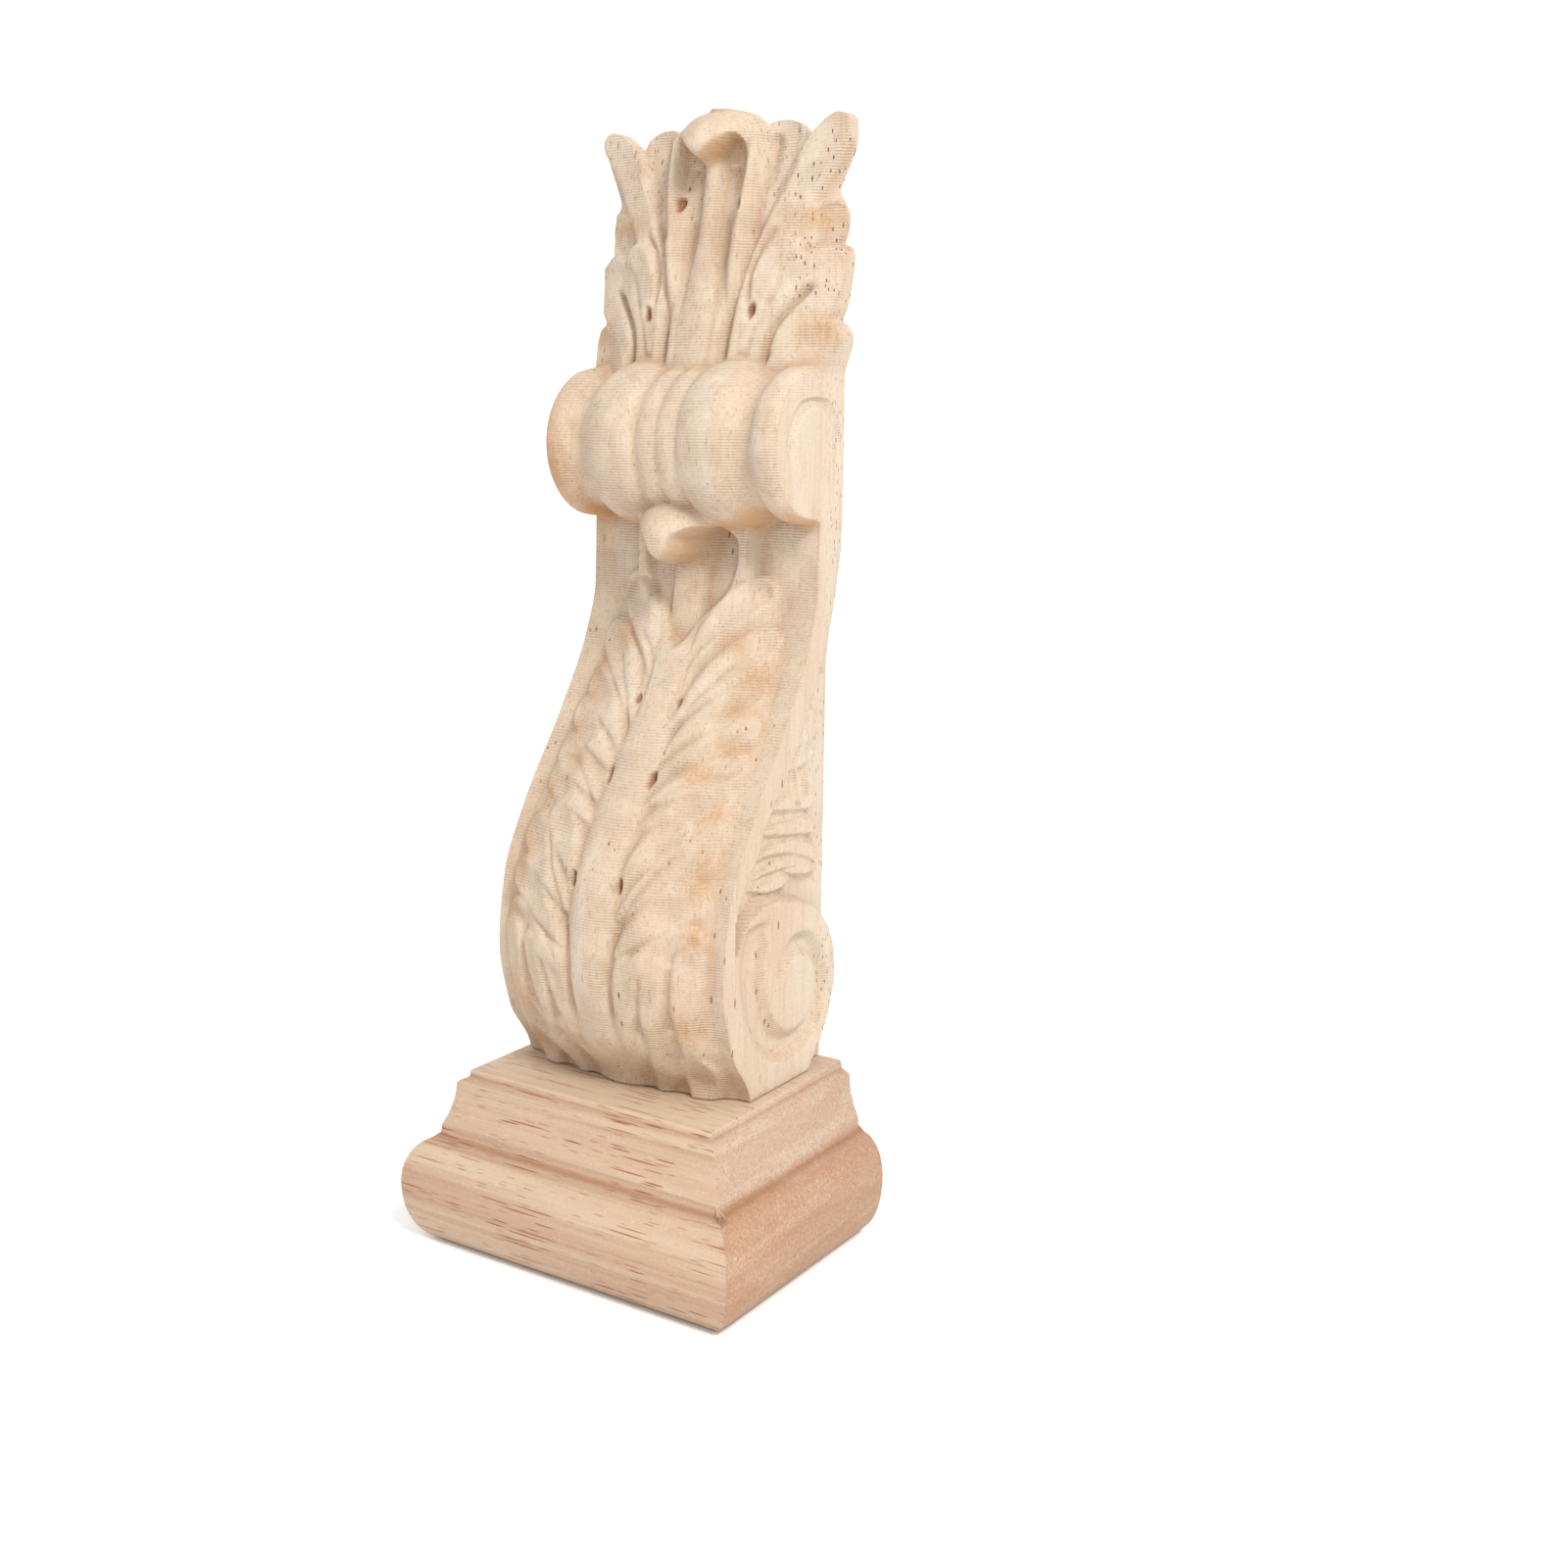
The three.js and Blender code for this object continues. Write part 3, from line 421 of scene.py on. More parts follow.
def volute_groove(y, z):
    """Depth of the spiral cut on each side of the foot."""
    dy, dz = y - VOLUTE_Y, z - VOLUTE_Z
    r = np.hypot(dy, dz)
    turn = np.degrees(np.arctan2(dz, -dy))
    cut = np.zeros_like(y)
    for lap in (0, 360):
        a = -turn + lap
        off = np.abs(r - smooth_line(VOLUTE_MIDDLE, a)) / (1.35 * smooth_line(VOLUTE_HALF, a) + 1)
        on = ease((a + 62) / 20) * ease((335 - a) / 20)
        cut = np.maximum(cut, VOLUTE_DEPTH * on * ease(1.1 * (1 - off)))
    return cut


def side_relief(y, z):
    """Half width at (y, z) with all the side carving, and free above the roll."""
    x = side_half(y, z) - volute_groove(y, z) * ease((VOLUTE_TOP - z) / 2)
    ring = np.hypot(y - ROLL_Y - RING_Y, z - ROLL_Z - RING_Z)
    x = x - RING_DEPTH * ease(1 - np.abs(ring - RING_RADIUS) / RING_HALF) * ease((z - 158) / 6)
    return np.where(z > SIDES_FREE, BODY_HALF + 6.5, x + 6.5 * ease((z - SIDES_FREE + 6) / 5))


def deselect():
    """Leave edit mode and select nothing."""
    if bpy.context.object and bpy.context.object.mode != "OBJECT":
        bpy.ops.object.mode_set(mode="OBJECT")
    bpy.ops.object.select_all(action="DESELECT")


def relief_sheet(name, across, up, place):
    """A grid sheet whose points are set by place(across, up), as (x, y, z) in millimetres."""
    deselect()
    bpy.ops.mesh.primitive_grid_add(x_subdivisions=len(across) - 1, y_subdivisions=len(up) - 1, size=1)
    piece = bpy.context.object
    piece.name = piece.data.name = name
    a, b = np.meshgrid(across, up)
    points = np.stack(place(a, b), -1).reshape(-1, 3) * MM
    piece.data.vertices.foreach_set("co", points.astype(np.float32).ravel())
    piece.data.update()
    return piece


def take_up(piece):
    """Make the piece the only one selected, and active."""
    deselect()
    piece.select_set(True)
    bpy.context.view_layer.objects.active = piece


def pull_edge(piece, axis, plane, fill):
    """Extrude the open edge of a sheet to a flat plane, and fill it if asked."""
    take_up(piece)
    bpy.ops.object.mode_set(mode="EDIT")
    bpy.ops.mesh.select_mode(type="EDGE")
    bpy.ops.mesh.select_all(action="DESELECT")
    bpy.ops.mesh.select_non_manifold()
    bpy.ops.mesh.extrude_edges_move()
    flat = [1.0, 1.0, 1.0]
    flat[axis] = 0.0
    centre = [0.0, 0.0, 0.0]
    centre[axis] = plane * MM
    bpy.ops.transform.resize(value=flat, center_override=centre)
    if fill:
        bpy.ops.mesh.edge_face_add()
    bpy.ops.object.mode_set(mode="OBJECT")


def face_out(piece):
    """Turn all faces of a closed piece outwards."""
    take_up(piece)
    bpy.ops.object.mode_set(mode="EDIT")
    bpy.ops.mesh.select_all(action="SELECT")
    bpy.ops.mesh.normals_make_consistent(inside=False)
    bpy.ops.object.mode_set(mode="OBJECT")


def finish_modifier(piece, kind, **settings):
    """Add a modifier with these settings and apply it."""
    take_up(piece)
    modifier = piece.modifiers.new(kind.title(), kind)
    for key, value in settings.items():
        setattr(modifier, key, value)
    bpy.ops.object.modifier_apply(modifier=modifier.name)


def combine(piece, tool, operation):
    """Join the piece with the tool or keep what lies inside both, and remove the tool."""
    finish_modifier(piece, "BOOLEAN", operation=operation, object=tool, solver="MANIFOLD")
    bpy.data.objects.remove(tool)


def outline_points():
    """Closed outline of the front view: straight sides and a smooth line round the lobes."""
    t = np.linspace(0, len(LOBES) - 1, OUTLINE_POINTS)
    p = np.array(LOBES, float)
    i = np.clip(t.astype(int), 0, len(p) - 2)
    s = (t - i)[:, None]
    a, b, c, d = p[np.maximum(i - 1, 0)], p[i], p[i + 1], p[np.minimum(i + 2, len(p) - 1)]
    q = 0.5 * (2 * b + (c - a) * s + (2 * a - 5 * b + 4 * c - d) * s ** 2 + (3 * b - a - 3 * c + d) * s ** 3)
    half = np.vstack([[BODY_HALF, FOOT], q])
    return np.vstack([half, half[-2::-1] * [-1, 1]])


def outline_block():
    """A block with the front's outline, deep enough to hold the whole carving."""
    deselect()
    front = -40.0
    p = outline_points()
    bpy.ops.mesh.primitive_circle_add(vertices=len(p), fill_type="NGON")
    block = bpy.context.object
    block.name = "front_outline"
    points = np.stack([p[:, 0], np.full(len(p), front), p[:, 1]], -1) * MM
    block.data.vertices.foreach_set("co", points.astype(np.float32).ravel())
    block.data.update()
    bpy.ops.object.mode_set(mode="EDIT")
    bpy.ops.mesh.select_all(action="SELECT")
    bpy.ops.mesh.extrude_region_move(TRANSFORM_OT_translate={"value": (0, (BACK - front) * MM, 0)})
    bpy.ops.object.mode_set(mode="OBJECT")
    face_out(block)
    return block


def carve_corbel(step):
    """The carved front, cut to its outline and to the relief of both sides."""
    nx = int(round(2 * SHEET_HALF / step)) // 2 * 2
    nz = int(round((TOP + SHEET_OVER - FOOT) / step))
    front = relief_sheet("corbel_carving", np.linspace(-SHEET_HALF, SHEET_HALF, nx + 1),
                         np.linspace(FOOT, TOP + SHEET_OVER, nz + 1),
                         lambda x, z: (x, soften(front_depth(x, z), 2), z))
    pull_edge(front, 1, BACK, True)
    face_out(front)
    ny = int(round(SIDE_DEEP / (step * SIDE_COARSER)))
    nz = int(round((TOP - FOOT + 4 * SIDE_OVER) / (step * SIDE_COARSER)))
    side = relief_sheet("side_relief", np.linspace(SIDE_FRONT, BACK + 3 * SIDE_OVER, ny + 1),
                        np.linspace(FOOT - SIDE_OVER, TOP + 3 * SIDE_OVER, nz + 1),
                        lambda y, z: (side_relief(y, z), y, z))
    pull_edge(side, 0, 0, False)
    finish_modifier(side, "MIRROR", use_axis=(True, False, False), merge_threshold=1e-5)
    face_out(side)
    combine(front, side, "INTERSECT")
    combine(front, outline_block(), "INTERSECT")
    return front


def triangles(piece):
    """How many triangles the piece has."""
    return sum(len(p.vertices) - 2 for p in piece.data.polygons)


def tidy_mesh(piece, angle):
    """Merge doubles, face all outwards, smooth below the angle, and clear the materials."""
    take_up(piece)
    bpy.ops.object.mode_set(mode="EDIT")
    bpy.ops.mesh.select_all(action="SELECT")
    bpy.ops.mesh.remove_doubles(threshold=1e-6)
    bpy.ops.mesh.normals_make_consistent(inside=False)
    bpy.ops.object.mode_set(mode="OBJECT")
    bpy.ops.object.shade_smooth_by_angle(angle=math.radians(angle))
    piece.data.materials.clear()
    piece.data.polygons.foreach_set("material_index", np.zeros(len(piece.data.polygons), np.int32))


class Value:
    """One shader socket, so that shader sums are written as Python sums."""

    def __init__(self, finish, socket):
        self.finish, self.socket = finish, socket

    def _sum(self, operation, a, b):
        return self.finish.node("ShaderNodeMath", {"operation": operation}, {0: a, 1: b})

    def __add__(self, other):
        return self._sum("ADD", self, other)

    def __radd__(self, other):
        return self._sum("ADD", other, self)

    def __sub__(self, other):
        return self._sum("SUBTRACT", self, other)

    def __rsub__(self, other):
        return self._sum("SUBTRACT", other, self)

    def __mul__(self, other):
        return self._sum("MULTIPLY", self, other)

    def __rmul__(self, other):
        return self._sum("MULTIPLY", other, self)


class Finish:
    """A material under construction."""

    def __init__(self, name):
        self.material = bpy.data.materials.new(name)
        self.material.use_nodes = True
        self.tree = self.material.node_tree
        self.tree.nodes.clear()

    def node(self, kind, settings, inputs, output=0):
        """Make a node: its settings first, then the values or links of its sockets."""
        made = self.tree.nodes.new(kind)
        for key, value in settings.items():
            setattr(made, key, value)
        for key, value in inputs.items():
            if isinstance(value, Value):
                self.tree.links.new(value.socket, made.inputs[key])
            else:
                made.inputs[key].default_value = value
        return None if output is None else Value(self, made.outputs[output])

    def step(self, value, low, high):
        """A soft step from 0 at low to 1 at high, also where high is below low."""
        if high < low:
            return 1 - self.step(value, high, low)
        return self.node("ShaderNodeMapRange", {"interpolation_type": "SMOOTHSTEP"},
                         {"Value": value, "From Min": low, "From Max": high})

    def blend(self, share, first, second):
        """A colour between two colours."""
        return self.node("ShaderNodeMix", {"data_type": "RGBA"}, {0: share, 6: first, 7: second}, 2)

    def noise(self, where, scale, detail=2.0, rough=0.5, warp=0.0):
        """Soft noise between 0 and 1."""
        return self.node("ShaderNodeTexNoise", {}, {"Vector": where, "Scale": scale, "Detail": detail,
                                                    "Roughness": rough, "Distortion": warp})

    def stretch(self, where, scale, turn=(0, 0, 0)):
        """Places scaled along each axis, after a turn in radians."""
        return self.node("ShaderNodeMapping", {}, {"Vector": where, "Scale": scale, "Rotation": turn})


def colour(r, g, b):
    """A colour as it looks under the studio light, 0 to 255, as the wood's own colour."""
    def lin(v):
        v = v / 255
        return v / 12.92 if v <= 0.04045 else ((v + 0.055) / 1.055) ** 2.4
    return (WOOD_SHARE * lin(r), WOOD_SHARE * lin(g), WOOD_SHARE * lin(b), 1)


def pores(f, where, cells, radius, share, seed):
    """Wood vessels as short dark dashes that lie along the grain."""
    moved = f.node("ShaderNodeVectorMath", {"operation": "ADD"},
                   {0: where, 1: (seed, seed * 0.7, seed * 1.3)})
    near = f.node("ShaderNodeTexVoronoi", {}, {"Vector": f.stretch(moved, cells), "Scale": 1.0}, "Distance")
    cell = Value(f, near.socket.node.outputs["Color"])
    pick = f.node("ShaderNodeSeparateColor", {}, {"Color": cell})
    dash = 1 - f.step(near, radius * 0.55, radius)
    return dash * f.step(pick, 1 - share, 1 - share + 0.02)


def attribute(f, name):
    """A value stored on the points of the piece."""
    return f.node("ShaderNodeAttribute", {"attribute_name": name}, {}, "Fac")


def bell_of(f, value, middle, width):
    """A soft hump of 1 at middle that falls to 0 at width on either side."""
    off = f.node("ShaderNodeMath", {"operation": "ABSOLUTE"}, {0: value - middle})
    return 1 - f.step(off, 0.0, width)


def axes(f, where):
    """The three parts of a place, each from its own node."""
    return [f.node("ShaderNodeSeparateXYZ", {}, {"Vector": where}, axis) for axis in "XYZ"]


def wooden(f, tone, rough, bump):
    """Join a tone, a roughness and a relief into a finished wood."""
    normal = f.node("ShaderNodeBump", {}, {"Strength": 0.6, "Distance": 0.00018, "Height": bump})
    shader = f.node("ShaderNodeBsdfPrincipled", {},
                    {"Base Color": tone, "Roughness": rough, "Normal": normal, "Specular IOR Level": 0.3})
    f.node("ShaderNodeOutputMaterial", {}, {"Surface": shader}, None)
    return f.material


def carved_wood():
    """Pale wood with upright fibre, small pores, tool ridges and painted shade in hollows, eyes and walls.
    """
    f = Finish("pale_carved_wood")
    where = f.node("ShaderNodeTexCoord", {}, {}, "Object")
    fibre = f.noise(f.stretch(where, (1900, 1900, 110)), 1.0, 3.0, 0.6)
    fuzz = f.noise(where, 1900.0, 2.0, 0.7)
    streak = f.noise(f.stretch(where, (420, 420, 16)), 1.0, 3.0, 0.6, 0.3)
    band = f.noise(f.stretch(where, (110, 60, 6)), 1.0, 3.0, 0.5, 0.6)
    cloud = f.noise(where, 38.0, 2.0)
    tone = f.blend(f.step(band, 0.3, 0.72), colour(251, 233, 209), colour(243, 218, 190))
    tone = f.blend(f.step(cloud, 0.42, 0.75) * 0.6, tone, colour(240, 207, 181))
    tone = f.blend(f.step(streak, 0.45, 0.75) * 0.4, tone, colour(226, 196, 160))
    tone = f.blend(f.step(fibre, 0.48, 0.78) * 0.45, tone, colour(208, 172, 138))
    tone = f.blend(f.step(fuzz, 0.5, 0.8) * 0.45, tone, colour(204, 170, 140))
    tone = f.blend(f.step(fuzz, 0.5, 0.2) * 0.4, tone, colour(255, 242, 222))
    small = pores(f, where, (1250, 1250, 210), 0.24, 0.42, 3.1)
    large = pores(f, where, (680, 680, 170), 0.2, 0.34, 7.7)
    zone = f.step(f.noise(f.stretch(where, (95, 60, 9)), 1.0, 2.0), 0.48, 0.62)
    tone = f.blend(small * 0.35, tone, colour(180, 138, 100))
    tone = f.blend(large * zone * 0.85, tone, colour(130, 84, 50))
    tiny = pores(f, where, (1300, 1300, 400), 0.27, 0.6, 5.3)
    tone = f.blend(tiny * attribute(f, "open_grain") * 0.85, tone, colour(120, 74, 42))
    # painted shade: orange patches on the lobes' dished ends and the roll's left end, and a browner foot
    tone = f.blend(attribute(f, "warm_shade_and_foot_tint") * (0.35 + 0.5 * f.step(fibre + fuzz, 0.7, 1.25)), tone,
                   colour(226, 176, 126))
    # painted shade: the carving turns browner in its hollows, by how deep they lie
    tone = f.blend(f.step(attribute(f, "hollow"), 0.0, 1.0) * 0.4, tone, colour(208, 158, 112))
    # painted shade: an orange tint on the sheer walls of the carving
    tone = f.blend(f.step(attribute(f, "wall_shade"), 0.15, 1.0) * 0.7, tone, colour(234, 174, 110))
    # painted shade: brown inside the drilled eyes
    tone = f.blend(attribute(f, "eye_shade") * 0.8, tone, colour(178, 112, 66))
    height = f.node("ShaderNodeSeparateXYZ", {}, {"Vector": where}, "Z")
    ridge = f.node("ShaderNodeMath", {"operation": "SINE"}, {0: height * (2 * math.pi / TOOL_PITCH)})
    tool = ridge * attribute(f, "tooled") * f.step(f.noise(where, 160.0, 2.0), 0.3, 0.65)
    tone = f.blend(f.step(tool, -0.2, 1.0) * 0.32, tone, colour(200, 150, 110))
    rough = 0.62 + 0.14 * fibre
    bump = fibre * 0.5 + fuzz * 0.5 - small * 0.5 - large * zone * 0.8 + tool * 0.6
    return wooden(f, tone, rough, bump)


def base_wood():
    """Pinker wood, grain across: long pores in front, speckled end grain at both ends, painted light and
    shade.
    """
    f = Finish("pinkish_base_wood")
    where = f.node("ShaderNodeTexCoord", {}, {}, "Object")
    x, y, z = axes(f, where)
    wide = f.node("ShaderNodeMath", {"operation": "ABSOLUTE"}, {0: x})
    # the end faces lie past the mitre, which runs back from the front corner, and below the top
    corner, top, foot = BASE_HIGH.x + BASE_LOW.y, BASE_HIGH.z, SLOPE_FOOT * MM
    end = f.step(wide + y, corner - 0.0002, corner + 0.0002) * f.step(z, top - 0.0001, top - 0.0005)
    fibre = f.noise(f.stretch(where, (90, 1700, 1700)), 1.0, 3.0, 0.6)
    fuzz = f.noise(where, 1700.0, 2.0, 0.7)
    line = f.noise(f.stretch(where, (7, 620, 620)), 1.0, 3.0, 0.6, 0.3)
    ring = f.noise(f.stretch(where, (6, 26, 170), (0.2, 0, 0)), 1.0, 3.0, 0.5, 0.7)
    tone = f.blend(f.step(ring, 0.3, 0.7), colour(243, 215, 184), colour(228, 188, 158))
    tone = f.blend(f.step(line, 0.46, 0.72) * 0.5, tone, colour(206, 158, 122))
    # painted highlight: the top face and its edge are lighter
    tone = f.blend(f.step(z, top - 0.0007, top - 0.0002) * 0.45, tone, colour(250, 226, 194))
    tone = f.blend(f.step(fibre, 0.5, 0.8) * 0.45, tone, colour(206, 162, 128))
    # painted shade: the ends are darker on the bulge
    tone = f.blend(end * f.step(z, foot, foot - 0.001) * 0.5, tone, colour(206, 154, 112))
    tone = f.blend(end * f.step(ring, 0.42, 0.6) * 0.5, tone, colour(208, 158, 120))
    tone = f.blend(end * f.step(fuzz, 0.45, 0.7) * 0.5, tone, colour(192, 150, 122))
    # painted light: the ends are lighter on the slope
    tone = f.blend(end * f.step(z, foot, foot + 0.001) * 0.4, tone, colour(232, 206, 184))
    tone = f.blend(f.step(fuzz, 0.5, 0.2) * 0.4, tone, colour(255, 240, 222))
    small = pores(f, where, (170, 1800, 1800), 0.28, 0.5, 2.3)
    large = pores(f, where, (90, 1400, 1400), 0.27, 0.6, 5.9)
    long = pores(f, where, (42, 1200, 1200), 0.26, 0.5, 9.1)
    zone = f.step(f.noise(f.stretch(where, (14, 60, 150)), 1.0, 2.0), 0.4, 0.56)
    tone = f.blend(small * 0.5, tone, colour(190, 128, 92))
    tone = f.blend(large * zone * (0.9 - 0.5 * end), tone, colour(184, 102, 62))
    tone = f.blend(long * (0.85 - 0.5 * end), tone, colour(186, 104, 62))
    low, high = (bell_of(f, z, level * MM, half * MM) * share for level, half, share in FOLDS)
    tone = f.blend(low + high, tone, colour(176, 122, 80))
    rough = 0.6 + 0.15 * fibre
    bump = fibre * 0.4 + fuzz * 0.4 + line * 0.6 - small * 0.5 - large * zone * 0.8
    return wooden(f, tone, rough, bump)


def soften(field, times):
    """Spread a grid of values over its neighbours."""
    for _ in range(times):
        p = np.pad(field, 1, mode="edge")
        field = (p[:-2, 1:-1] + p[2:, 1:-1] + p[1:-1, :-2] + p[1:-1, 2:] + 2 * p[1:-1, 1:-1]) / 6
    return field


def mark_hollows(piece):
    """Store on each point the painted shade of the hollows, walls and drilled eyes, and where the tool ran.
    """
    co = np.zeros(len(piece.data.vertices) * 3, np.float32)
    piece.data.vertices.foreach_get("co", co)
    px, py, pz = (co.reshape(-1, 3) / MM).T
    no = np.zeros(len(co), np.float32)
    piece.data.vertex_normals.foreach_get("vector", no)
    across, toward = np.abs(no[0::3]), -no[1::3]
    grid = HOLLOW_GRID
    xs, zs = np.arange(-SHEET_HALF, SHEET_HALF + grid, grid), np.arange(FOOT, TOP + 2, grid)
    x, z = np.meshgrid(xs, zs)
    depth = front_depth(x, z)
    broad = np.clip((depth - soften(depth, 30)) / 1.5, -1, 1)
    fine = np.clip((depth - soften(depth, 5)) / 0.5, -1, 1)
    slope_z, slope_x = np.gradient(depth, grid)
    wall = ease((np.hypot(slope_z, slope_x) - 0.9) / 2.2) * ease(0.55 - slope_z / 2.5)
    i = np.clip(((pz - zs[0]) / grid).round().astype(int), 0, len(zs) - 1)
    j = np.clip(((px - xs[0]) / grid).round().astype(int), 0, len(xs) - 1)
    u = np.abs(px)
    carved = py < BACK - 0.5
    marks = {}
    # how far the carving lies below its smoothed self, kept as painted shade for the hollows
    hollow = np.clip(0.75 * np.clip(broad, 0, 1) + 0.5 * np.clip(fine, 0, 1), 0, 1)
    marks["hollow"] = hollow[i, j] * np.clip(1.3 - across ** 3, 0, 1) * carved
    # painted shade on sheer walls that face sideways or down, paler near the leaf's foot
    marks["wall_shade"] = (soften(wall, 4)[i, j] * (py < BACK - 1.5) * (u < BODY_HALF - 0.4)
                      * np.where(pz < LOWER_WALLS, 0.3, 1))
    marks["tooled"] = np.clip(toward + 0.5, 0, 1) * (across < 0.92)
    # the drilled eyes hold a painted shade
    eyes = [((u - x) / (1.05 * rx)) ** 2 + ((pz - z) / (1.05 * rz)) ** 2 for x, z, rx, rz, _, _ in EYES]
    marks["eye_shade"] = highest([ease((0.95 - q) / 0.6) for q in eyes]) * carved
    # painted shade also browns the left end of the roll, beside the big bead; the foot of the leaf is
    # browner too
    warm_shade_and_foot_tint = highest([bell(u - x, wide) * bell(pz - z, tall) for x, z, wide, tall in LOBE_SHADE_PATCHES]
                   + [1.3 * bell(px + 27, 5.5) * bell(pz - 158, 14), 0.45 * ease((58 - pz) / 20)])
    marks["warm_shade_and_foot_tint"] = warm_shade_and_foot_tint * carved * (u < SHEET_HALF) * (across < 0.93)
    # open pores at the upper right and along the back
    marks["open_grain"] = ease((px - 15) / 7) * ease((pz - 184) / 12) + 0.7 * ease((py - 22) / 4)
    for name, data in marks.items():
        made = piece.data.attributes.new(name, "FLOAT", "POINT")
        made.data.foreach_set("value", data.astype(np.float32))


def base_profile():
    """Points of the moulding from the top down, as (how far in from the widest line, height)."""
    p = list(SLOPE)
    for k in range(1, BULGE_STEPS + 1):
        a = math.pi * k / BULGE_STEPS
        reach, tall = BULGE_UPPER if k < BULGE_STEPS / 2 else BULGE_LOWER
        p.append((reach - reach * math.sin(a), BULGE_LEVEL + math.cos(a) * tall))
    return p


def mould_base():
    """The base block: its moulded outline is extruded up in steps, the back stays flat."""
    deselect()
    steps = base_profile()[::-1]
    bpy.ops.mesh.primitive_plane_add(size=2, location=(0, 0, 0))
    base = bpy.context.object
    base.name = base.data.name = "base_block"
    half_x = BASE_HIGH.x / MM
    front_y = BACK - (BASE_HIGH.y - BASE_LOW.y) / MM

    def corner(inset, z):
        return half_x - inset, front_y + inset, z

    x, y, z = corner(*steps[0])
    points = np.array([(-x, y, 0), (x, y, 0), (-x, BACK, 0), (x, BACK, 0)]) * MM
    base.data.vertices.foreach_set("co", points.astype(np.float32).ravel())
    bpy.ops.object.mode_set(mode="EDIT")
    bpy.ops.mesh.select_all(action="SELECT")
    last = (x, y, 0.0)
    for step in steps[1:]:
        x, y, z = corner(*step)
        bpy.ops.mesh.extrude_region_move(TRANSFORM_OT_translate={"value": (0, 0, (z - last[2]) * MM)})
        bpy.ops.transform.resize(value=(x / last[0], (BACK - y) / (BACK - last[1]), 1),
                                 center_override=(0, BACK * MM, z * MM))
        last = (x, y, z)
    bpy.ops.object.mode_set(mode="OBJECT")
    face_out(base)
    return base


def tear_corner(base):
    """Leave a small tuft of torn fibres standing at the corner of the cove."""
    for *way, long in TORN_FIBRES:
        way = Vector(way).normalized()
        middle = Vector(TORN_ROOT) + way * long * 0.42
        deselect()
        bpy.ops.mesh.primitive_cone_add(vertices=6, radius1=TORN_HALF * MM, radius2=TORN_TIP * MM,
                                        depth=long * MM, location=middle * MM,
                                        rotation=way.to_track_quat("Z", "Y").to_euler())
        combine(base, bpy.context.object, "UNION")


class CorbelSizes(bpy.types.PropertyGroup):
    """Sizes of the meshes that a user would change."""
    relief_step: bpy.props.FloatProperty(
        name="Relief step", description="Spacing of the points of the carved front, in millimetres",
        default=0.36, min=0.3, max=3)
    smooth_angle: bpy.props.FloatProperty(
        name="Smooth angle", description="Edges sharper than this stay crisp, in degrees", default=38)


class StageLook(bpy.types.PropertyGroup):
    """Looks of the stage that a user would change."""
    floor: bpy.props.FloatVectorProperty(
        name="Floor", description="Colour of the floor", subtype="COLOR", default=(0.97, 0.97, 0.97))
    world: bpy.props.FloatProperty(name="Room light", description="Strength of the even light", default=1.15)


class CORBEL_OT_carving(bpy.types.Operator):
    """Carve the corbel"""
    bl_idname = "corbel.carving"
    bl_label = "Carve the corbel"

    def execute(self, context):
        sizes = context.scene.corbel_sizes
        piece = carve_corbel(sizes.relief_step)
        count = triangles(piece)
        if count > TRIANGLE_LIMIT:
            finish_modifier(piece, "DECIMATE", ratio=TRIANGLE_LIMIT / count)
        tidy_mesh(piece, sizes.smooth_angle)
        print("carving triangles", count, triangles(piece))
        mark_hollows(piece)
        piece.data.materials.append(carved_wood())
        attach(piece, "root")
        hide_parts("carved_corbel")
        return {"FINISHED"}


class CORBEL_OT_base(bpy.types.Operator):
    """Mould the base block"""
    bl_idname = "corbel.base"
    bl_label = "Mould the base block"

    def execute(self, context):
        piece = mould_base()
        finish_modifier(piece, "BEVEL", width=EDGE_ROUND * MM, segments=2, limit_method="ANGLE",
                        angle_limit=math.radians(50))
        tear_corner(piece)
        tidy_mesh(piece, 35)
        piece.data.materials.append(base_wood())
        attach(piece, "root")
        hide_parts("moulded_base")
        return {"FINISHED"}


def place_key_light():
    """Hang the round studio light."""
    data = bpy.data.lights.new("key", "AREA")
    data.shape, data.size, data.energy, data.color = "DISK", KEY_SIZE, KEY_POWER, KEY_TINT
    lamp = bpy.data.objects.new("key", data)
    bpy.context.scene.collection.objects.link(lamp)
    lamp.location = KEY_PLACE
    lamp.rotation_euler = (Vector(KEY_AIM) - Vector(KEY_PLACE)).to_track_quat("-Z", "Y").to_euler()


def place_camera():
    """Set the camera where the photograph was taken from."""
    data = bpy.data.cameras.new("camera")
    camera = bpy.data.objects.new("camera", data)
    bpy.context.scene.collection.objects.link(camera)
    level = math.cos(CAMERA_HEIGHT)
    back = Vector((math.sin(CAMERA_TURN) * level, -math.cos(CAMERA_TURN) * level, math.sin(CAMERA_HEIGHT)))
    camera.location = Vector(CAMERA_AIM) + back * CAMERA_DISTANCE
    turn = back.to_track_quat("Z", "Y").to_matrix()
    camera.rotation_euler = (turn @ Matrix.Rotation(CAMERA_ROLL, 3, "Z")).to_euler()
    data.sensor_width = SENSOR
    data.lens = FOCAL_PX / FRAME_PX * SENSOR
    data.shift_x = 0.5 - MIDDLE_X_PX / FRAME_PX
    data.shift_y = MIDDLE_Y_PX / FRAME_PX - 0.5
    data.clip_start = 0.01
    bpy.context.scene.camera = camera


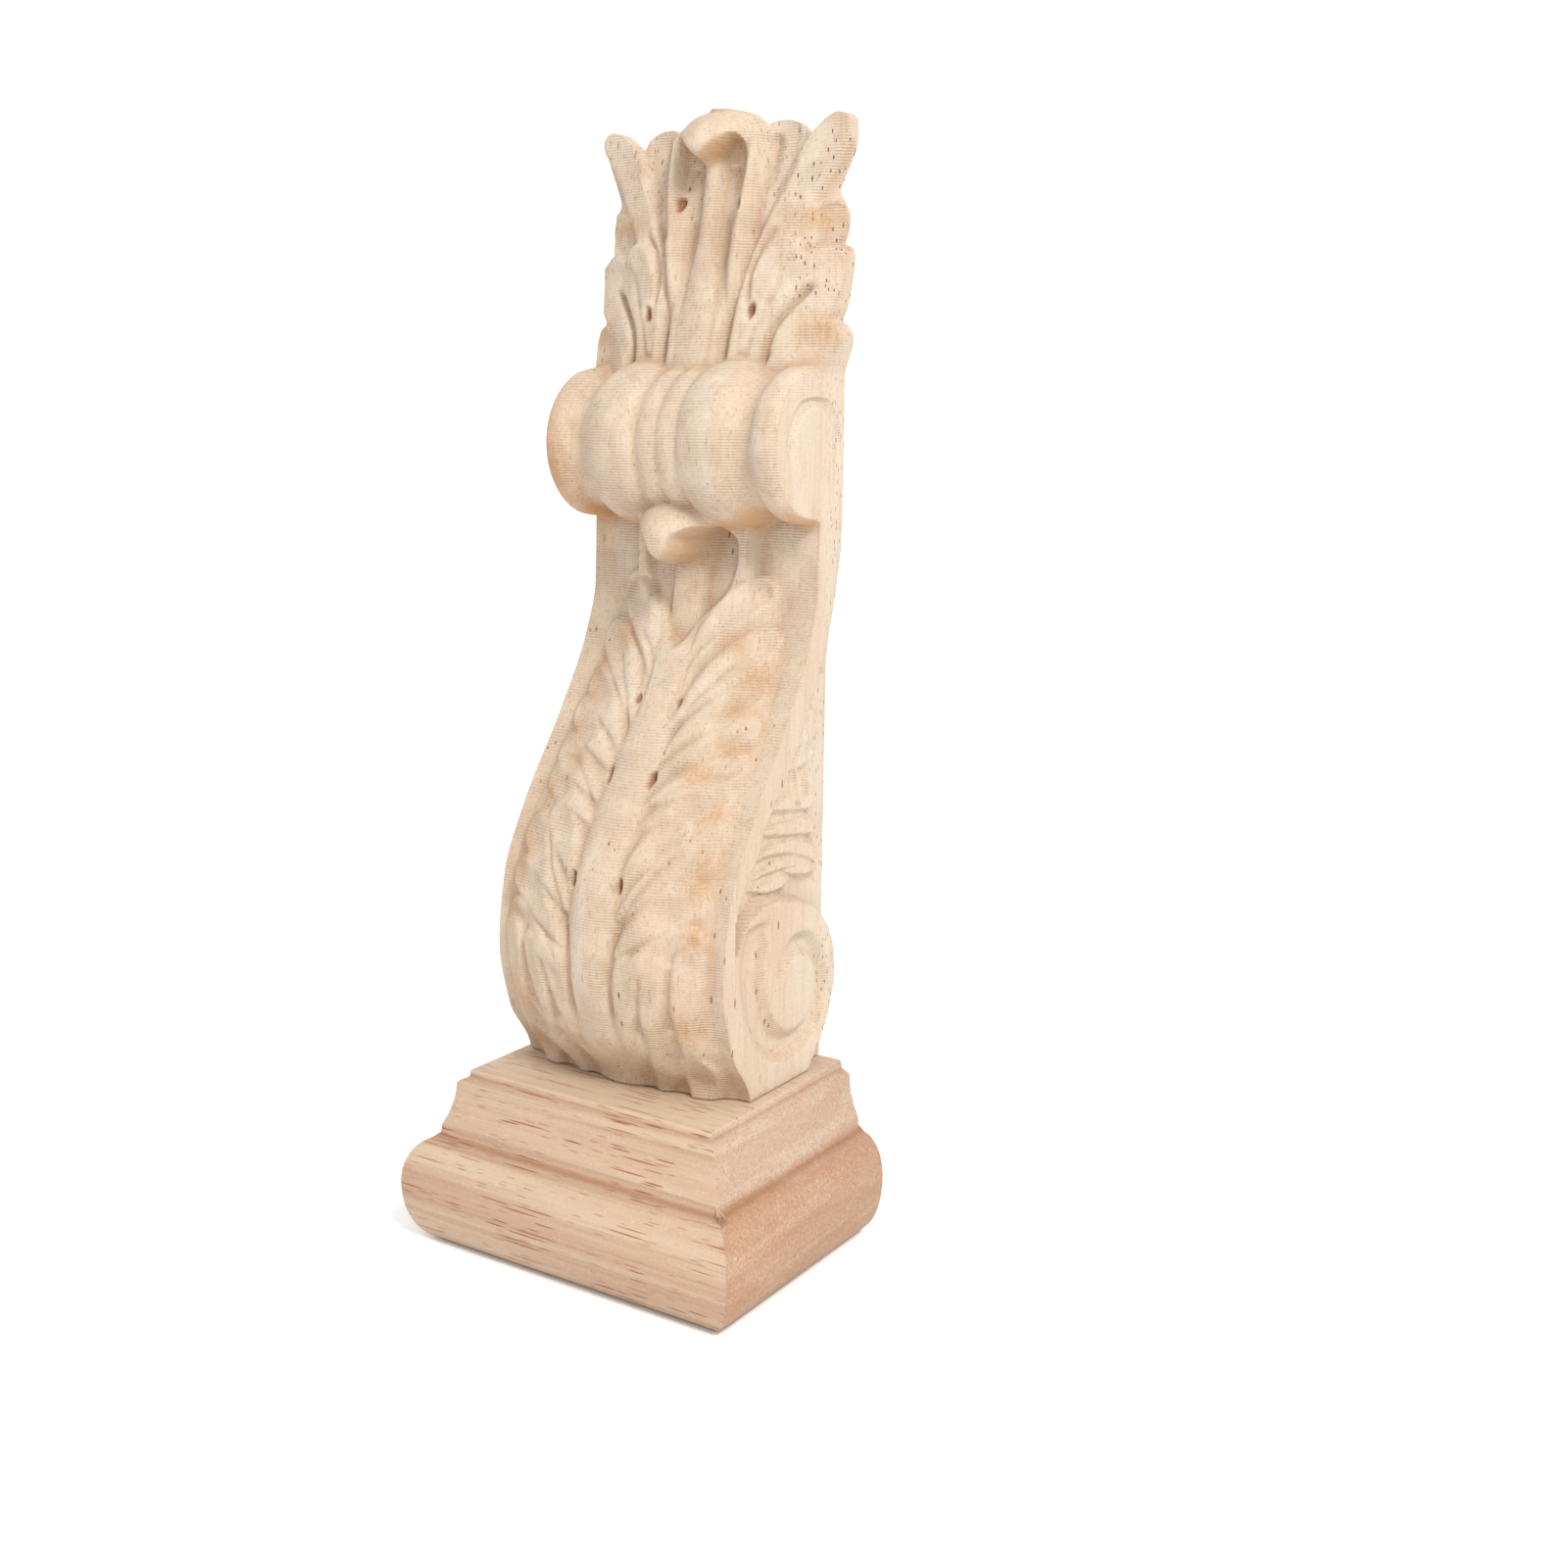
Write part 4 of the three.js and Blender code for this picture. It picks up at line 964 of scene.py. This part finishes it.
class CORBEL_OT_stage(bpy.types.Operator):
    """Set the floor, the lights and the camera"""
    bl_idname = "corbel.stage"
    bl_label = "Set the stage"

    def execute(self, context):
        look = context.scene.corbel_stage
        deselect()
        bpy.ops.mesh.primitive_plane_add(size=6, location=(0, 0, -0.0002))
        floor = context.object
        floor.name = "floor"
        f = Finish("floor_white")
        shader = f.node("ShaderNodeBsdfPrincipled", {}, {"Base Color": (*look.floor, 1), "Roughness": 0.9})
        f.node("ShaderNodeOutputMaterial", {}, {"Surface": shader}, None)
        floor.data.materials.append(f.material)
        world = bpy.data.worlds.new("room")
        world.use_nodes = True
        world.node_tree.nodes["Background"].inputs[0].default_value = (1, 1, 1, 1)
        world.node_tree.nodes["Background"].inputs[1].default_value = look.world
        context.scene.world = world
        place_key_light()
        place_camera()
        context.scene.view_settings.view_transform = "Standard"
        return {"FINISHED"}


class CORBEL_PT_sidebar(bpy.types.Panel):
    """Lists the sizes and the operators."""
    bl_idname = "CORBEL_PT_sidebar"
    bl_label = "Corbel"
    bl_space_type = "VIEW_3D"
    bl_region_type = "UI"
    bl_category = "Corbel"

    def draw(self, context):
        for group in (context.scene.corbel_sizes, context.scene.corbel_stage):
            for name in group.__annotations__:
                self.layout.prop(group, name)
        for operator in ("corbel.base", "corbel.carving", "corbel.stage"):
            self.layout.operator(operator)


CLASSES = (CorbelSizes, StageLook, CORBEL_OT_base, CORBEL_OT_carving, CORBEL_OT_stage, CORBEL_PT_sidebar)


def register():
    """Add the classes and their settings to Blender."""
    for c in CLASSES:
        bpy.utils.register_class(c)
    bpy.types.Scene.corbel_sizes = bpy.props.PointerProperty(type=CorbelSizes)
    bpy.types.Scene.corbel_stage = bpy.props.PointerProperty(type=StageLook)


def unregister():
    """Take the classes and their settings out again."""
    del bpy.types.Scene.corbel_stage
    del bpy.types.Scene.corbel_sizes
    for c in reversed(CLASSES):
        bpy.utils.unregister_class(c)


def main():
    """Build the base, the carving and the stage."""
    register()
    bpy.ops.corbel.base()
    bpy.ops.corbel.carving()
    bpy.ops.corbel.stage()


if __name__ == "__main__":
    main()
